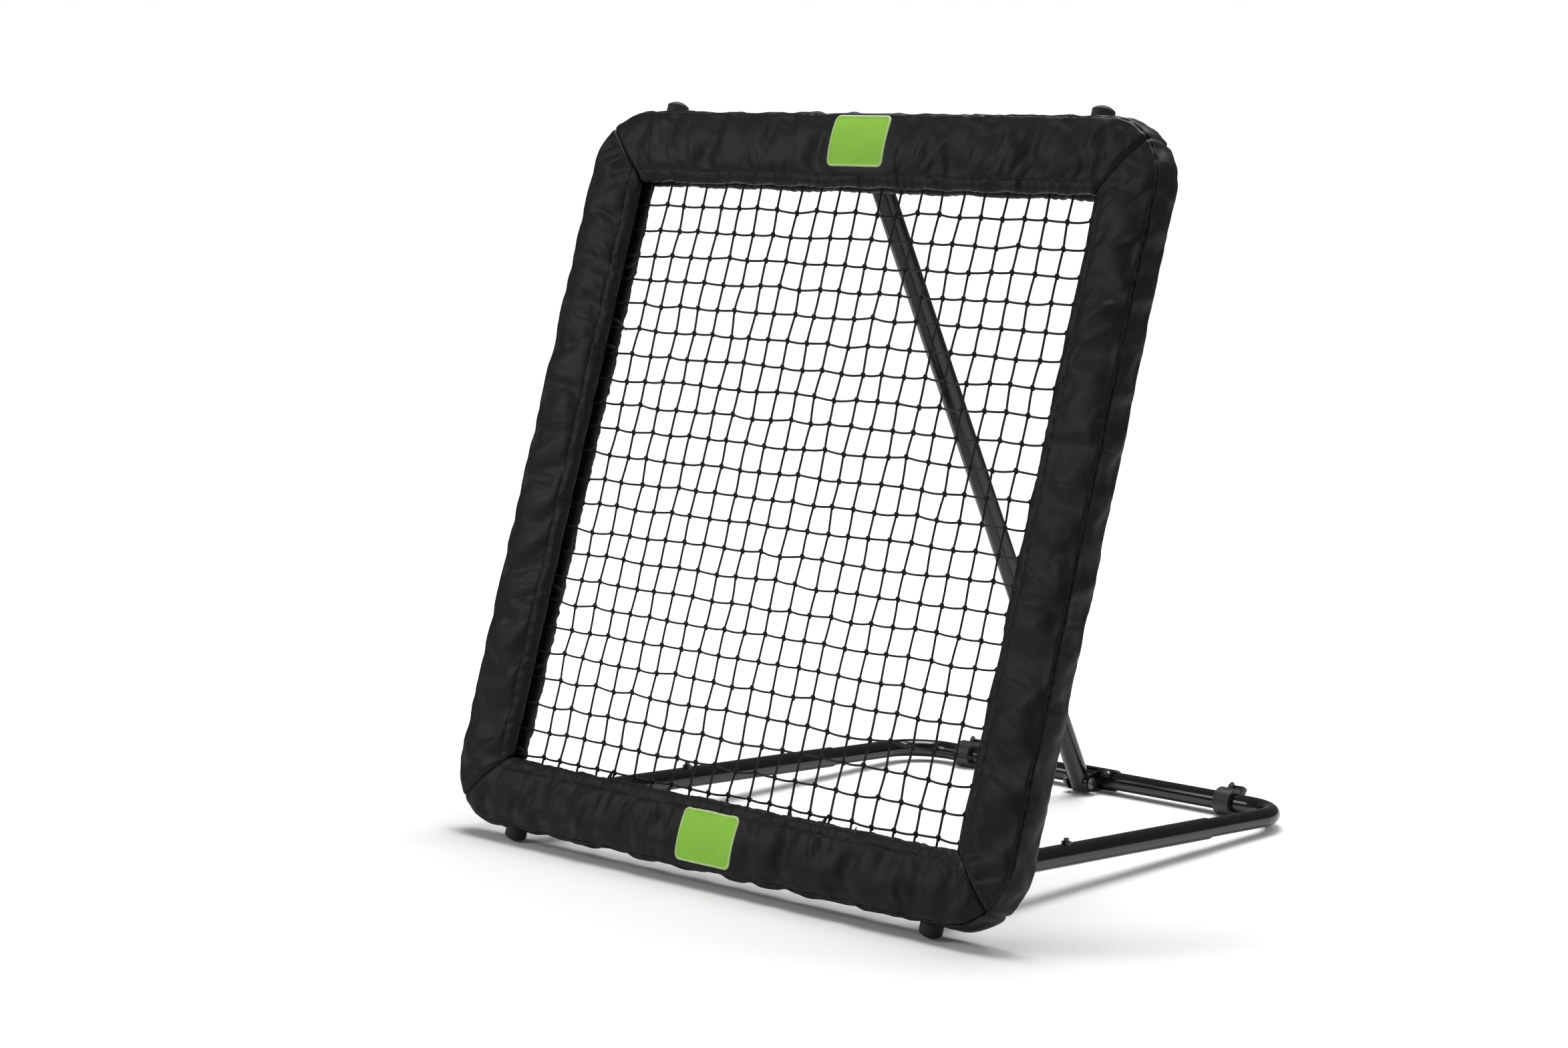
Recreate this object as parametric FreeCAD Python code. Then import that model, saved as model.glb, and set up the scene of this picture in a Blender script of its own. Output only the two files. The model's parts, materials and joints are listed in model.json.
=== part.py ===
import FreeCAD, Part
import math
import os

# Pitch back rebounder: a padded net frame that leans back on a telescoping ground frame and a strut.
# Sizes are in millimetres and degrees.
# The net frame is drawn flat: x across, y up the frame from the tips of its feet, z out of its front.

# Net frame and its cover
COVER_WIDTH = 840.0
COVER_HEIGHT = 858.0
NET_LEAN = 72.0
CORNER_RADIUS = 78.0
SIDE_PAD_WIDTH = 81.0
BOTTOM_PAD_WIDTH = 79.0
TOP_PAD_WIDTH = 86.0
SEAM_HALF_DEPTH = 19.5
CROWN_HALF_DEPTH = 22.0
LIP_HALF_DEPTH = 15.5
SIDE_BULGE = 1.5
SEAM_ROUND = 4.0
LIP_ROUND = 2.0
PAD_GAP = 0.3
MITRE_ANGLE = 45.0

# Steel tubes
TUBE_RADIUS = 12.5
TUBE_WALL = 1.2
TUBE_INSET = 40.0
WELD_RADIUS = 9.5
WELD_WALL = 1.5
SPIGOT_WALL = 1.4
SPIGOT_GAP = 0.1
JOINT_SPIGOT_LENGTH = 90.0
JOINT_RIVET_RADIUS = 2.4
JOINT_RIVET_OFFSET = 24.0
JOINT_RIVET_HEAD = 1.4

# Feet of the net frame
FOOT_SIDE_INSET = 104.0
FOOT_SHOW = 14.0
FOOT_RADIUS = 12.5
FOOT_DOME_RISE = 5.0
FOOT_LENGTH = 27.0
FOOT_TIP_WALL = 6.0
FOOT_HOLE_GAP = 0.3

# Net, border cord and strap loops
NET_COLUMNS = 15
NET_ROWS = 15
STRAND = 3.0
CORD_RADIUS = 2.5
CORD_INSET = 63.0
CORD_GAP = 0.1
STRAP_WIDTH = 5.0
STRAP_THICKNESS = 1.5
STRAP_GAP = 0.1
STRAP_TAIL_LENGTH = 12.0
STRAP_EVERY = 2
SIDE_STRAP_FIRST = 0
END_STRAP_FIRST = 1

# Badges
BADGE_WIDTH = 83.0
BADGE_HEIGHT = 59.0
BADGE_CORNER = 7.0
BADGE_THICKNESS = 1.0
BADGE_SEAT = 0.05
TOP_BADGE_INSET = 4.0
BOTTOM_BADGE_INSET = 6.0

# Hinge sleeves on the frame tubes
SLEEVE_LENGTH = 30.0
SLEEVE_WALL = 2.5
SLEEVE_GAP = 0.3
SLEEVE_COLLAR = 18.0
BOLT_TO_SPIGOT_END = 10.0
ARM_BOLT_AT = 32.0
STRUT_BOLT_AT = 48.0
STOP_RING_LENGTH = 4.0
STOP_RING_WALL = 1.8
NOTCH_GAP = 0.8
ARM_SWING_ROOM = 15.0

# Ground frame
ARM_SIDE_INSET = 130.0
REAR_TUBE_Y = 676.4
ARM_LENGTH = 495.0
LEG_RADIUS = 11.0
LEG_WALL = 1.2
LEG_START = 78.0
REAR_BEND_RADIUS = 55.0
CLAMP_AT = 239.0
CLAMP_BOSS_RADIUS = 5.5
CLAMP_BOSS_HEIGHT = 2.5
CLAMP_SCREW_RADIUS = 3.0
CLAMP_SCREW_SHOW = 6.0
CLAMP_TIP_GAP = 0.2
HOLE_GAP = 0.1

# Ring feet on the rear tube
RING_FROM_LEG = 88.0
RING_LENGTH = 22.0
RING_RADIUS = 16.8
RING_FLAT = 16.3
RING_GAP = 0.1
RING_SLIT = 2.0
RING_TAB_LENGTH = 7.0
RING_TAB_THICKNESS = 3.0
RING_TAB_ANGLE = 125.0
RING_SCREW_RADIUS = 1.6

# Strut and its foot
STRUT_TUBE_GAP = 1.1
PIVOT_RISE = 11.0
PLUG_SPIGOT = 25.0
PLUG_SHOULDER = 14.0
PLUG_NOSE_SPREAD = 1.5
PIVOT_BOLT_RADIUS = 4.0
PIVOT_SLACK = 1.3
EAR_GAP = 0.5
EAR_THICKNESS = 3.0
EAR_END_RADIUS = 10.5
SADDLE_WALL = 2.4
SADDLE_HALF_LENGTH = 34.0
SADDLE_EDGE_ANGLE = 8.0
SADDLE_GAP_ANGLE = 20.0
SADDLE_RIVET_X = 26.0
SADDLE_RIVET_RADIUS = 2.5
SADDLE_RIVET_HEAD = 2.0
SADDLE_RIVET_TAIL = 1.0

# Bolts
HEAD_RIM_SHARE = 0.35
HEAD_FLAT_SHARE = 0.55
BOLT_RADIUS = 3.0
BOLT_HEAD_RADIUS = 5.5
BOLT_HEAD_HEIGHT = 3.2
NUT_HEIGHT = 4.0
PIVOT_HEAD_RADIUS = 7.5
PIVOT_HEAD_HEIGHT = 4.5
PIVOT_NUT_HEIGHT = 6.0

Vec = FreeCAD.Vector
ORIGIN = Vec(0, 0, 0)
X = Vec(1, 0, 0)
Y = Vec(0, 1, 0)
Z = Vec(0, 0, 1)

# Places that follow from the sizes
COVER_TOP = FOOT_SHOW + COVER_HEIGHT
COVER_MIDDLE = FOOT_SHOW + COVER_HEIGHT / 2
LOW_TUBE_Y = FOOT_SHOW + TUBE_INSET
HIGH_TUBE_Y = COVER_TOP - TUBE_INSET
SIDE_TUBE_X = COVER_WIDTH / 2 - TUBE_INSET
FOOT_X = COVER_WIDTH / 2 - FOOT_SIDE_INSET
ARM_X = COVER_WIDTH / 2 - ARM_SIDE_INSET
RING_X = ARM_X - RING_FROM_LEG
BORE_RADIUS = TUBE_RADIUS - TUBE_WALL
SLEEVE_RADIUS = TUBE_RADIUS + SLEEVE_GAP + SLEEVE_WALL
STRAP_BORE = TUBE_RADIUS + STRAP_GAP
STRAP_OUTER = STRAP_BORE + STRAP_THICKNESS
STRAP_END_RADIUS = math.hypot(STRAND, STRAND / 2) + STRAP_GAP
RIVET_REACH = math.hypot(2 * JOINT_RIVET_RADIUS, TUBE_RADIUS + JOINT_RIVET_HEAD)
VOID_RADIUS = max(STRAP_OUTER, RIVET_REACH) + PAD_GAP
NET_EDGE_INSET = CORD_INSET + CORD_RADIUS + CORD_GAP
SLIT_HALF = STRAP_END_RADIUS + STRAP_THICKNESS + PAD_GAP


def cylinder(radius, length, start, direction):
    return Part.makeCylinder(radius, length, start, direction)


def tube(outer, wall, length, start, direction):
    return cylinder(outer, length, start, direction).cut(cylinder(outer - wall, length, start, direction))


def box_between(low, high):
    size = high - low
    return Part.makeBox(size.x, size.y, size.z, low)


def fused(shapes):
    body = shapes[0]
    for shape in shapes[1:]:
        body = body.fuse(shape)
    return body.removeSplitter()


def moved(shape, angle=0.0, axis=Z, offset=ORIGIN):
    copy = shape.copy()
    copy.rotate(ORIGIN, axis, angle)
    copy.translate(offset)
    return copy


def arc_through(a, b, c):
    return Part.Arc(a, b, c).toShape()


def line(a, b):
    return Part.LineSegment(a, b).toShape()


def rounded_path(points, radius):
    """Open wire along the points, with a round bend of the given radius at each inner point."""
    edges = []
    start = points[0]
    for before, corner, after in zip(points, points[1:], points[2:]):
        back = (before - corner).normalize()
        ahead = (after - corner).normalize()
        half = back.getAngle(ahead) / 2
        reach = radius / math.tan(half)
        middle = corner + (back + ahead).normalize() * (radius / math.sin(half) - radius)
        edges.append(line(start, corner + back * reach))
        edges.append(arc_through(corner + back * reach, middle, corner + ahead * reach))
        start = corner + ahead * reach
    edges.append(line(start, points[-1]))
    return Part.Wire(edges)


def bent_tube(path, radius, wall):
    """Round tube with its bore, along a wire of lines and tangent arcs."""
    first = path.OrderedEdges[0]
    start = first.valueAt(first.FirstParameter)
    direction = first.tangentAt(first.FirstParameter)
    outer = Part.Wire([Part.makeCircle(radius, start, direction)])
    inner = Part.Wire([Part.makeCircle(radius - wall, start, direction)])
    return path.makePipeShell([outer], True, False).cut(path.makePipeShell([inner], True, False))


def belt_face(near, near_radius, far, far_radius):
    """Face in the y-z plane inside a belt round two circles that lie on the y axis."""
    lean = (near_radius - far_radius) / (far - near)
    rise = math.sqrt(1 - lean * lean)
    near_top = Vec(0, near + near_radius * lean, near_radius * rise)
    far_top = Vec(0, far + far_radius * lean, far_radius * rise)
    near_low = Vec(0, near_top.y, -near_top.z)
    far_low = Vec(0, far_top.y, -far_top.z)
    edges = [
        arc_through(near_low, Vec(0, near - near_radius, 0), near_top),
        line(near_top, far_top),
        arc_through(far_top, Vec(0, far + far_radius, 0), far_low),
        line(far_low, near_low),
    ]
    return Part.Face(Part.Wire(edges))


def on_side(shape, side):
    """Copy of a shape drawn on the x axis, the outer edge of the cover, moved to one side of the frame."""
    angle, offset = {
        "bottom": (0.0, Vec(0, FOOT_SHOW, 0)),
        "right": (90.0, Vec(COVER_WIDTH / 2, COVER_MIDDLE, 0)),
        "top": (180.0, Vec(0, COVER_TOP, 0)),
        "left": (270.0, Vec(-COVER_WIDTH / 2, COVER_MIDDLE, 0)),
    }[side]
    return moved(shape, angle, Z, offset)


def pad_outline(width, grow=0.0):
    """Outline of a pad across its run: crowned front and back, bulging outer side and round lip."""
    seam_cut = (SEAM_ROUND + grow) * (1 - math.sqrt(0.5))
    lip_cut = (LIP_ROUND + grow) * (1 - math.sqrt(0.5))
    side_y = SIDE_BULGE - grow
    lip_y = width + grow
    seam = Vec(0, side_y + seam_cut, SEAM_HALF_DEPTH + grow - seam_cut)
    side = Vec(0, side_y, SEAM_HALF_DEPTH - SEAM_ROUND)
    front = Vec(0, SIDE_BULGE + SEAM_ROUND, SEAM_HALF_DEPTH + grow)
    crown = Vec(0, TUBE_INSET, CROWN_HALF_DEPTH + grow)
    inner = Vec(0, width - LIP_ROUND, LIP_HALF_DEPTH + grow)
    lip = Vec(0, lip_y - lip_cut, LIP_HALF_DEPTH + grow - lip_cut)
    edge = Vec(0, lip_y, LIP_HALF_DEPTH - LIP_ROUND)

    def back(p):
        return Vec(p.x, p.y, -p.z)

    edges = [
        arc_through(back(side), Vec(0, -grow, 0), side),
        arc_through(side, seam, front),
        arc_through(front, crown, inner),
        arc_through(inner, lip, edge),
        line(edge, back(edge)),
        arc_through(back(edge), back(lip), back(inner)),
        arc_through(back(inner), back(crown), back(front)),
        arc_through(back(front), back(seam), back(side)),
    ]
    return Part.Face(Part.Wire(edges))


def pad_section(width):
    """Pad outline with the hollow for the tube and straps, and the slit where the net comes out."""
    hollow = belt_face(TUBE_INSET, VOID_RADIUS, NET_EDGE_INSET, SLIT_HALF)
    slit = Part.makePlane(2 * width, 2 * SLIT_HALF, Vec(0, NET_EDGE_INSET, -SLIT_HALF), X, Y)
    section = pad_outline(width).cut(hollow).cut(slit)
    return section.Faces[0]


def pad(run, width):
    """Pad along the x axis between two corner centres, with an eighth turn of padding at each end."""
    section = pad_section(width)
    clip = Part.makePlane(CORNER_RADIUS, 4 * CROWN_HALF_DEPTH, Vec(0, 0, -2 * CROWN_HALF_DEPTH), X, Y)
    corner_section = section.common(clip).Faces[0]
    parts = [moved(section, offset=Vec(-run / 2, 0, 0)).extrude(Vec(run, 0, 0))]
    for end in (-1, 1):
        centre = Vec(end * run / 2, CORNER_RADIUS, 0)
        face = moved(corner_section, offset=Vec(centre.x, 0, 0))
        parts.append(face.revolve(centre, Z * end, MITRE_ANGLE))
    return fused(parts)


def foot_hole(x):
    """Hole from outside the cover to the tube, for a foot and its stub."""
    return cylinder(FOOT_RADIUS + FOOT_HOLE_GAP, TUBE_INSET + FOOT_SHOW, Vec(x, -FOOT_SHOW, 0), Y)


def sleeve_room(x, rise_low, rise_high):
    """Room in a pad for a hinge sleeve at x, and the notch in the back that its arm comes out of."""
    half = SLEEVE_LENGTH / 2 + PAD_GAP
    around = cylinder(SLEEVE_RADIUS + PAD_GAP, 2 * half, Vec(x - half, TUBE_INSET, 0), X)
    notch_half = TUBE_RADIUS + NOTCH_GAP
    low = Vec(x - notch_half, TUBE_INSET + rise_low, -2 * CROWN_HALF_DEPTH)
    high = Vec(x + notch_half, TUBE_INSET + rise_high, 0)
    return [around, box_between(low, high)]


def frame_pads():
    """Four pads of the cover, meeting at mitred corners."""
    across = COVER_WIDTH - 2 * CORNER_RADIUS
    upright = COVER_HEIGHT - 2 * CORNER_RADIUS
    notch_half = TUBE_RADIUS + NOTCH_GAP
    steepest = math.radians(90.0 + ARM_SWING_ROOM - NET_LEAN)
    arm_rise = CROWN_HALF_DEPTH * math.tan(steepest)
    bottom = pad(across, BOTTOM_PAD_WIDTH)
    top = pad(across, TOP_PAD_WIDTH)
    for x in (-FOOT_X, FOOT_X):
        bottom = bottom.cut(foot_hole(x))
        top = top.cut(foot_hole(x))
    for x in (-ARM_X, ARM_X):
        for room in sleeve_room(x, -notch_half, notch_half + arm_rise):
            bottom = bottom.cut(room)
    for room in sleeve_room(0.0, -notch_half, TOP_PAD_WIDTH):
        top = top.cut(room)
    side = pad(upright, SIDE_PAD_WIDTH)
    pads = {"pad_bottom": on_side(bottom, "bottom"), "pad_top": on_side(top, "top")}
    deep = 4 * CROWN_HALF_DEPTH
    half_run = across / 2
    low_box = box_between(Vec(-half_run, 0, -deep), Vec(half_run, FOOT_SHOW + BOTTOM_PAD_WIDTH, deep))
    high_box = box_between(Vec(-half_run, COVER_TOP - TOP_PAD_WIDTH, -deep), Vec(half_run, COVER_TOP, deep))
    for name in ("left", "right"):
        pads["pad_" + name] = on_side(side, name).cut(low_box).cut(high_box)
    return pads


def badge(inset, side):
    """Thin bare badge that follows the crown of the pad it is sewn to."""
    width = TOP_PAD_WIDTH if side == "top" else BOTTOM_PAD_WIDTH
    low = Vec(-BADGE_WIDTH / 2, inset, 0)
    high = Vec(BADGE_WIDTH / 2, inset + BADGE_HEIGHT, 2 * CROWN_HALF_DEPTH)
    plate = box_between(low, high)
    uprights = [e for e in plate.Edges if abs(e.tangentAt(e.FirstParameter).z) > 0.9]
    plate = plate.makeFillet(BADGE_CORNER, uprights)
    outer = moved(pad_outline(width, BADGE_SEAT + BADGE_THICKNESS), offset=Vec(-BADGE_WIDTH, 0, 0))
    inner = moved(pad_outline(width, BADGE_SEAT), offset=Vec(-BADGE_WIDTH, 0, 0))
    skin = outer.extrude(X * (2 * BADGE_WIDTH)).cut(inner.extrude(X * (2 * BADGE_WIDTH)))
    return on_side(skin.common(plate), side)


def foot_stub(x):
    """Short tube welded on the outside of the frame tube, which carries a rubber foot."""
    start = FOOT_TIP_WALL - FOOT_SHOW
    stub = tube(WELD_RADIUS, WELD_WALL, TUBE_INSET - start, Vec(x, start, 0), Y)
    return stub.cut(cylinder(TUBE_RADIUS, 4 * WELD_RADIUS, Vec(x - 2 * WELD_RADIUS, TUBE_INSET, 0), X))


def dome_radius():
    return (FOOT_RADIUS ** 2 + FOOT_DOME_RISE ** 2) / (2 * FOOT_DOME_RISE)


def foot(x):
    """Rubber cap with a domed end and a blind bore for its stub."""
    centre = Vec(x, dome_radius() - FOOT_SHOW, 0)
    body = cylinder(FOOT_RADIUS, FOOT_LENGTH, Vec(x, -FOOT_SHOW, 0), Y)
    ball = Part.makeSphere(dome_radius(), centre)
    above = cylinder(FOOT_RADIUS, FOOT_LENGTH, Vec(x, FOOT_DOME_RISE - FOOT_SHOW, 0), Y)
    body = body.common(ball.fuse(above))
    return body.cut(cylinder(WELD_RADIUS, FOOT_LENGTH, Vec(x, FOOT_TIP_WALL - FOOT_SHOW, 0), Y))


def rivet_places():
    places = []
    for x in (-SIDE_TUBE_X, SIDE_TUBE_X):
        for step in (-JOINT_RIVET_OFFSET, JOINT_RIVET_OFFSET):
            places.append(Vec(x, COVER_MIDDLE + step, 0))
    return places


def frame_tubes():
    """The two U tubes of the net frame, the spigots that join them, and their rivets."""
    bend = CORNER_RADIUS - TUBE_INSET
    holes = []
    rivets = []
    for place in rivet_places():
        reach = TUBE_RADIUS + JOINT_RIVET_HEAD
        start = place - Z * reach
        holes.append(cylinder(JOINT_RIVET_RADIUS + HOLE_GAP, 2 * reach, start, Z))
        rivet = cylinder(JOINT_RIVET_RADIUS, 2 * reach, start, Z)
        for seat in (place + Z * TUBE_RADIUS, start):
            rivet = rivet.fuse(cylinder(2 * JOINT_RIVET_RADIUS, JOINT_RIVET_HEAD, seat, Z))
        rivets.append(rivet.removeSplitter())
    pieces = {}
    for name, y in (("lower_frame_tube", LOW_TUBE_Y), ("upper_frame_tube", HIGH_TUBE_Y)):
        points = [
            Vec(-SIDE_TUBE_X, COVER_MIDDLE, 0),
            Vec(-SIDE_TUBE_X, y, 0),
            Vec(SIDE_TUBE_X, y, 0),
            Vec(SIDE_TUBE_X, COVER_MIDDLE, 0),
        ]
        body = bent_tube(rounded_path(points, bend), TUBE_RADIUS, TUBE_WALL)
        for hole in holes:
            body = body.cut(hole)
        pieces[name] = body
    spigots = []
    for x in (-SIDE_TUBE_X, SIDE_TUBE_X):
        start = Vec(x, COVER_MIDDLE - JOINT_SPIGOT_LENGTH / 2, 0)
        spigot = tube(BORE_RADIUS - SPIGOT_GAP, SPIGOT_WALL, JOINT_SPIGOT_LENGTH, start, Y)
        for hole in holes:
            spigot = spigot.cut(hole)
        spigots.append(spigot)
    pieces["frame_spigots"] = Part.makeCompound(spigots)
    pieces["frame_joint_rivets"] = Part.makeCompound(rivets)
    return pieces


def net_half_size():
    return COVER_WIDTH / 2 - NET_EDGE_INSET, COVER_HEIGHT / 2 - NET_EDGE_INSET


def net_cell(count, half, index):
    """Centre of one mesh, measured from the middle of the net."""
    pitch = (2 * half - STRAND) / count
    return (index + 0.5 - count / 2) * pitch


def net():
    """Flat net as one face with a hole for each mesh, one strand thick."""
    half_x, half_y = net_half_size()
    middle = Vec(0, COVER_MIDDLE, -STRAND / 2)
    gap_x = (2 * half_x - STRAND) / NET_COLUMNS - STRAND
    gap_y = (2 * half_y - STRAND) / NET_ROWS - STRAND

    def rectangle(centre, width, height):
        corner = centre - Vec(width / 2, height / 2, 0)
        steps = [Vec(0, 0, 0), Vec(width, 0, 0), Vec(width, height, 0), Vec(0, height, 0), Vec(0, 0, 0)]
        return Part.makePolygon([corner + step for step in steps])

    wires = [rectangle(middle, 2 * half_x, 2 * half_y)]
    for column in range(NET_COLUMNS):
        for row in range(NET_ROWS):
            x = net_cell(NET_COLUMNS, half_x, column)
            y = net_cell(NET_ROWS, half_y, row)
            wires.append(rectangle(middle + Vec(x, y, 0), gap_x, gap_y))
    face = Part.Face(wires, "Part::FaceMakerBullseye")
    return face.extrude(Vec(0, 0, STRAND))


def border_cord():
    """Closed cord round the net, with round corners."""
    half_x = COVER_WIDTH / 2 - CORD_INSET
    half_y = COVER_HEIGHT / 2 - CORD_INSET
    bend = CORNER_RADIUS - CORD_INSET
    low = COVER_MIDDLE - half_y
    high = COVER_MIDDLE + half_y
    points = [Vec(0, low, 0), Vec(half_x, low, 0), Vec(half_x, high, 0), Vec(0, high, 0)]
    path = rounded_path(points, bend)
    circle = Part.Wire([Part.makeCircle(CORD_RADIUS, points[0], X)])
    half = path.makePipeShell([circle], True, False)
    other = half.mirror(ORIGIN, X)
    return half.fuse(other).removeSplitter()


def strap_loop(x):
    """Strap round the tube and the edge of the net, with its pointed end standing out into the net."""
    bore = belt_face(TUBE_INSET, STRAP_BORE, NET_EDGE_INSET, STRAP_END_RADIUS)
    outer = belt_face(TUBE_INSET, STRAP_OUTER, NET_EDGE_INSET, STRAP_END_RADIUS + STRAP_THICKNESS)
    band = moved(outer.cut(bore), offset=Vec(x - STRAP_WIDTH / 2, 0, 0)).extrude(X * STRAP_WIDTH)
    root = NET_EDGE_INSET + STRAP_END_RADIUS + STRAP_THICKNESS / 2
    low = -STRAP_THICKNESS / 2
    points = [
        Vec(x - STRAP_WIDTH / 2, root, low),
        Vec(x + STRAP_WIDTH / 2, root, low),
        Vec(x, root + STRAP_TAIL_LENGTH, low),
        Vec(x - STRAP_WIDTH / 2, root, low),
    ]
    tail = Part.Face(Part.makePolygon(points)).extrude(Z * STRAP_THICKNESS)
    return band.fuse(tail).removeSplitter()


def strap_places(first, count, half, sleeves):
    """Middles of every second mesh along a side, apart from those where a hinge sleeve sits."""
    clear = SLEEVE_LENGTH / 2 + SLEEVE_GAP + STOP_RING_LENGTH + STRAP_WIDTH / 2 + STRAP_GAP
    places = [net_cell(count, half, cell) for cell in range(first, count, STRAP_EVERY)]
    return [x for x in places if all(abs(x - sleeve) > clear for sleeve in sleeves)]


def strap_loops():
    half_x, half_y = net_half_size()
    upright = strap_places(SIDE_STRAP_FIRST, NET_ROWS, half_y, ())
    places = {
        "left": upright,
        "right": upright,
        "top": strap_places(END_STRAP_FIRST, NET_COLUMNS, half_x, (0.0,)),
        "bottom": strap_places(END_STRAP_FIRST, NET_COLUMNS, half_x, (-ARM_X, ARM_X)),
    }
    groups = {}
    for side, middles in places.items():
        loops = [on_side(strap_loop(x), side) for x in middles]
        groups["net_straps_" + side] = Part.makeCompound(loops)
    return groups


def stop_ring(x, y):
    start = Vec(x - STOP_RING_LENGTH / 2, y, 0)
    return tube(TUBE_RADIUS + STRAP_GAP + STOP_RING_WALL, STOP_RING_WALL, STOP_RING_LENGTH, start, X)


def stop_rings():
    beside = SLEEVE_LENGTH / 2 + SLEEVE_GAP + STOP_RING_LENGTH / 2
    rings = [stop_ring(side * (ARM_X - beside), LOW_TUBE_Y) for side in (-1, 1)]
    rings += [stop_ring(side * beside, HIGH_TUBE_Y) for side in (-1, 1)]
    return Part.makeCompound(rings)


def lean(shape):
    """Shape of the flat-drawn net frame, leaned back to its place."""
    return moved(shape, NET_LEAN, X)


def lean_point(y):
    angle = math.radians(NET_LEAN)
    return Vec(0, y * math.cos(angle), y * math.sin(angle))


def floor_height():
    """Height of the floor: the lowest point of the domed feet."""
    return dome_radius() * (math.sin(math.radians(NET_LEAN)) - 1)


ARM_PIVOT = lean_point(LOW_TUBE_Y)
STRUT_PIVOT = lean_point(HIGH_TUBE_Y)
REAR_TUBE = Vec(0, REAR_TUBE_Y, floor_height() + RING_FLAT)
ARM_DIRECTION = (REAR_TUBE - ARM_PIVOT).normalize()
ARM_UP = X.cross(ARM_DIRECTION)


def strut_line():
    """Direction of the strut, and its lower pivot: it passes just in front of the rear tube."""
    offset = TUBE_RADIUS + LEG_RADIUS + STRUT_TUBE_GAP
    down = REAR_TUBE - STRUT_PIVOT
    length = math.sqrt(down.Length ** 2 - offset ** 2)
    angle = math.atan2(down.z, down.y) - math.asin(offset / down.Length)
    direction = Vec(0, math.cos(angle), math.sin(angle))
    return direction, STRUT_PIVOT + direction * (length - PIVOT_RISE)


STRUT_DIRECTION, FOOT_PIVOT = strut_line()


def cross_hole(centre, radius):
    return cylinder(radius, 4 * TUBE_RADIUS, centre - X * (2 * TUBE_RADIUS), X)


def hinge_sleeve(centre, direction, bolt_distance):
    """Sleeve that turns on a frame tube, with a collar and spigot that carry an arm or the strut."""
    reach = bolt_distance + BOLT_TO_SPIGOT_END
    body = cylinder(SLEEVE_RADIUS, SLEEVE_LENGTH, centre - X * (SLEEVE_LENGTH / 2), X)
    body = body.fuse(cylinder(TUBE_RADIUS, SLEEVE_COLLAR, centre, direction))
    body = body.fuse(cylinder(BORE_RADIUS - SPIGOT_GAP, reach, centre, direction))
    body = body.cut(cross_hole(centre, TUBE_RADIUS + SLEEVE_GAP))
    return body.cut(cross_hole(centre + direction * bolt_distance, BOLT_RADIUS + HOLE_GAP))


def hexagon(radius, height, centre, direction):
    """Hexagonal prism along the x axis, given its corner radius."""
    points = []
    for corner in range(7):
        angle = math.radians(60 * corner)
        points.append(centre + Vec(0, radius * math.cos(angle), radius * math.sin(angle)))
    return Part.Face(Part.makePolygon(points)).extrude(direction * height)


def headed_pin(radius, length, head_radius, head_height, start, direction):
    """Pin with a bevelled round head at its far end, made by turning its half outline."""
    across = X if abs(direction.x) < 0.5 else Y
    head_at = length - head_height
    outline = [
        (0.0, 0.0),
        (0.0, radius),
        (head_at, radius),
        (head_at, head_radius),
        (head_at + HEAD_RIM_SHARE * head_height, head_radius),
        (length, HEAD_FLAT_SHARE * head_radius),
        (length, 0.0),
        (0.0, 0.0),
    ]
    points = [start + direction * along + across * out for along, out in outline]
    return Part.Face(Part.makePolygon(points)).revolve(start, direction, 360.0)


def cross_bolt(centre, half_grip, radius, head_radius, head_height, nut_height):
    """Bolt across x with its head on the right and a nut on the left."""
    start = centre - X * (half_grip + nut_height)
    length = 2 * half_grip + nut_height + head_height
    bolt = headed_pin(radius, length, head_radius, head_height, start, X)
    nut = hexagon(head_radius, nut_height, centre - X * half_grip, -X)
    return bolt, nut.cut(cross_hole(centre, radius))


def tube_bolt(centre):
    """Bolt and nut that hold a hinge sleeve in its tube."""
    return cross_bolt(centre, TUBE_RADIUS, BOLT_RADIUS, BOLT_HEAD_RADIUS, BOLT_HEAD_HEIGHT, NUT_HEIGHT)


def arms():
    """Both arm tubes with their clamp bosses, hinge sleeves, bolts, nuts and clamp screws."""
    pieces = {}
    bolts = []
    nuts = []
    screws = []
    for side, name in ((-1, "left"), (1, "right")):
        pivot = ARM_PIVOT + X * (side * ARM_X)
        bolt_at = pivot + ARM_DIRECTION * ARM_BOLT_AT
        clamp = pivot + ARM_DIRECTION * CLAMP_AT
        start = pivot + ARM_DIRECTION * SLEEVE_COLLAR
        body = cylinder(TUBE_RADIUS, ARM_LENGTH - SLEEVE_COLLAR, start, ARM_DIRECTION)
        body = body.fuse(cylinder(CLAMP_BOSS_RADIUS, TUBE_RADIUS + CLAMP_BOSS_HEIGHT, clamp, ARM_UP))
        body = body.cut(cylinder(BORE_RADIUS, ARM_LENGTH, pivot, ARM_DIRECTION))
        body = body.cut(cylinder(CLAMP_SCREW_RADIUS + HOLE_GAP, 3 * TUBE_RADIUS, clamp, ARM_UP))
        pieces["arm_" + name] = body.cut(cross_hole(bolt_at, BOLT_RADIUS + HOLE_GAP))
        pieces["arm_sleeve_" + name] = hinge_sleeve(pivot, ARM_DIRECTION, ARM_BOLT_AT)
        bolt, nut = tube_bolt(bolt_at)
        bolts.append(bolt)
        nuts.append(nut)
        tip = LEG_RADIUS + CLAMP_TIP_GAP
        screw_length = TUBE_RADIUS + CLAMP_SCREW_SHOW - tip
        screws.append(cylinder(CLAMP_SCREW_RADIUS, screw_length, clamp + ARM_UP * tip, ARM_UP))
    pieces["arm_bolts"] = Part.makeCompound(bolts)
    pieces["arm_nuts"] = Part.makeCompound(nuts)
    pieces["arm_clamp_screws"] = Part.makeCompound(screws)
    return pieces


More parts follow.
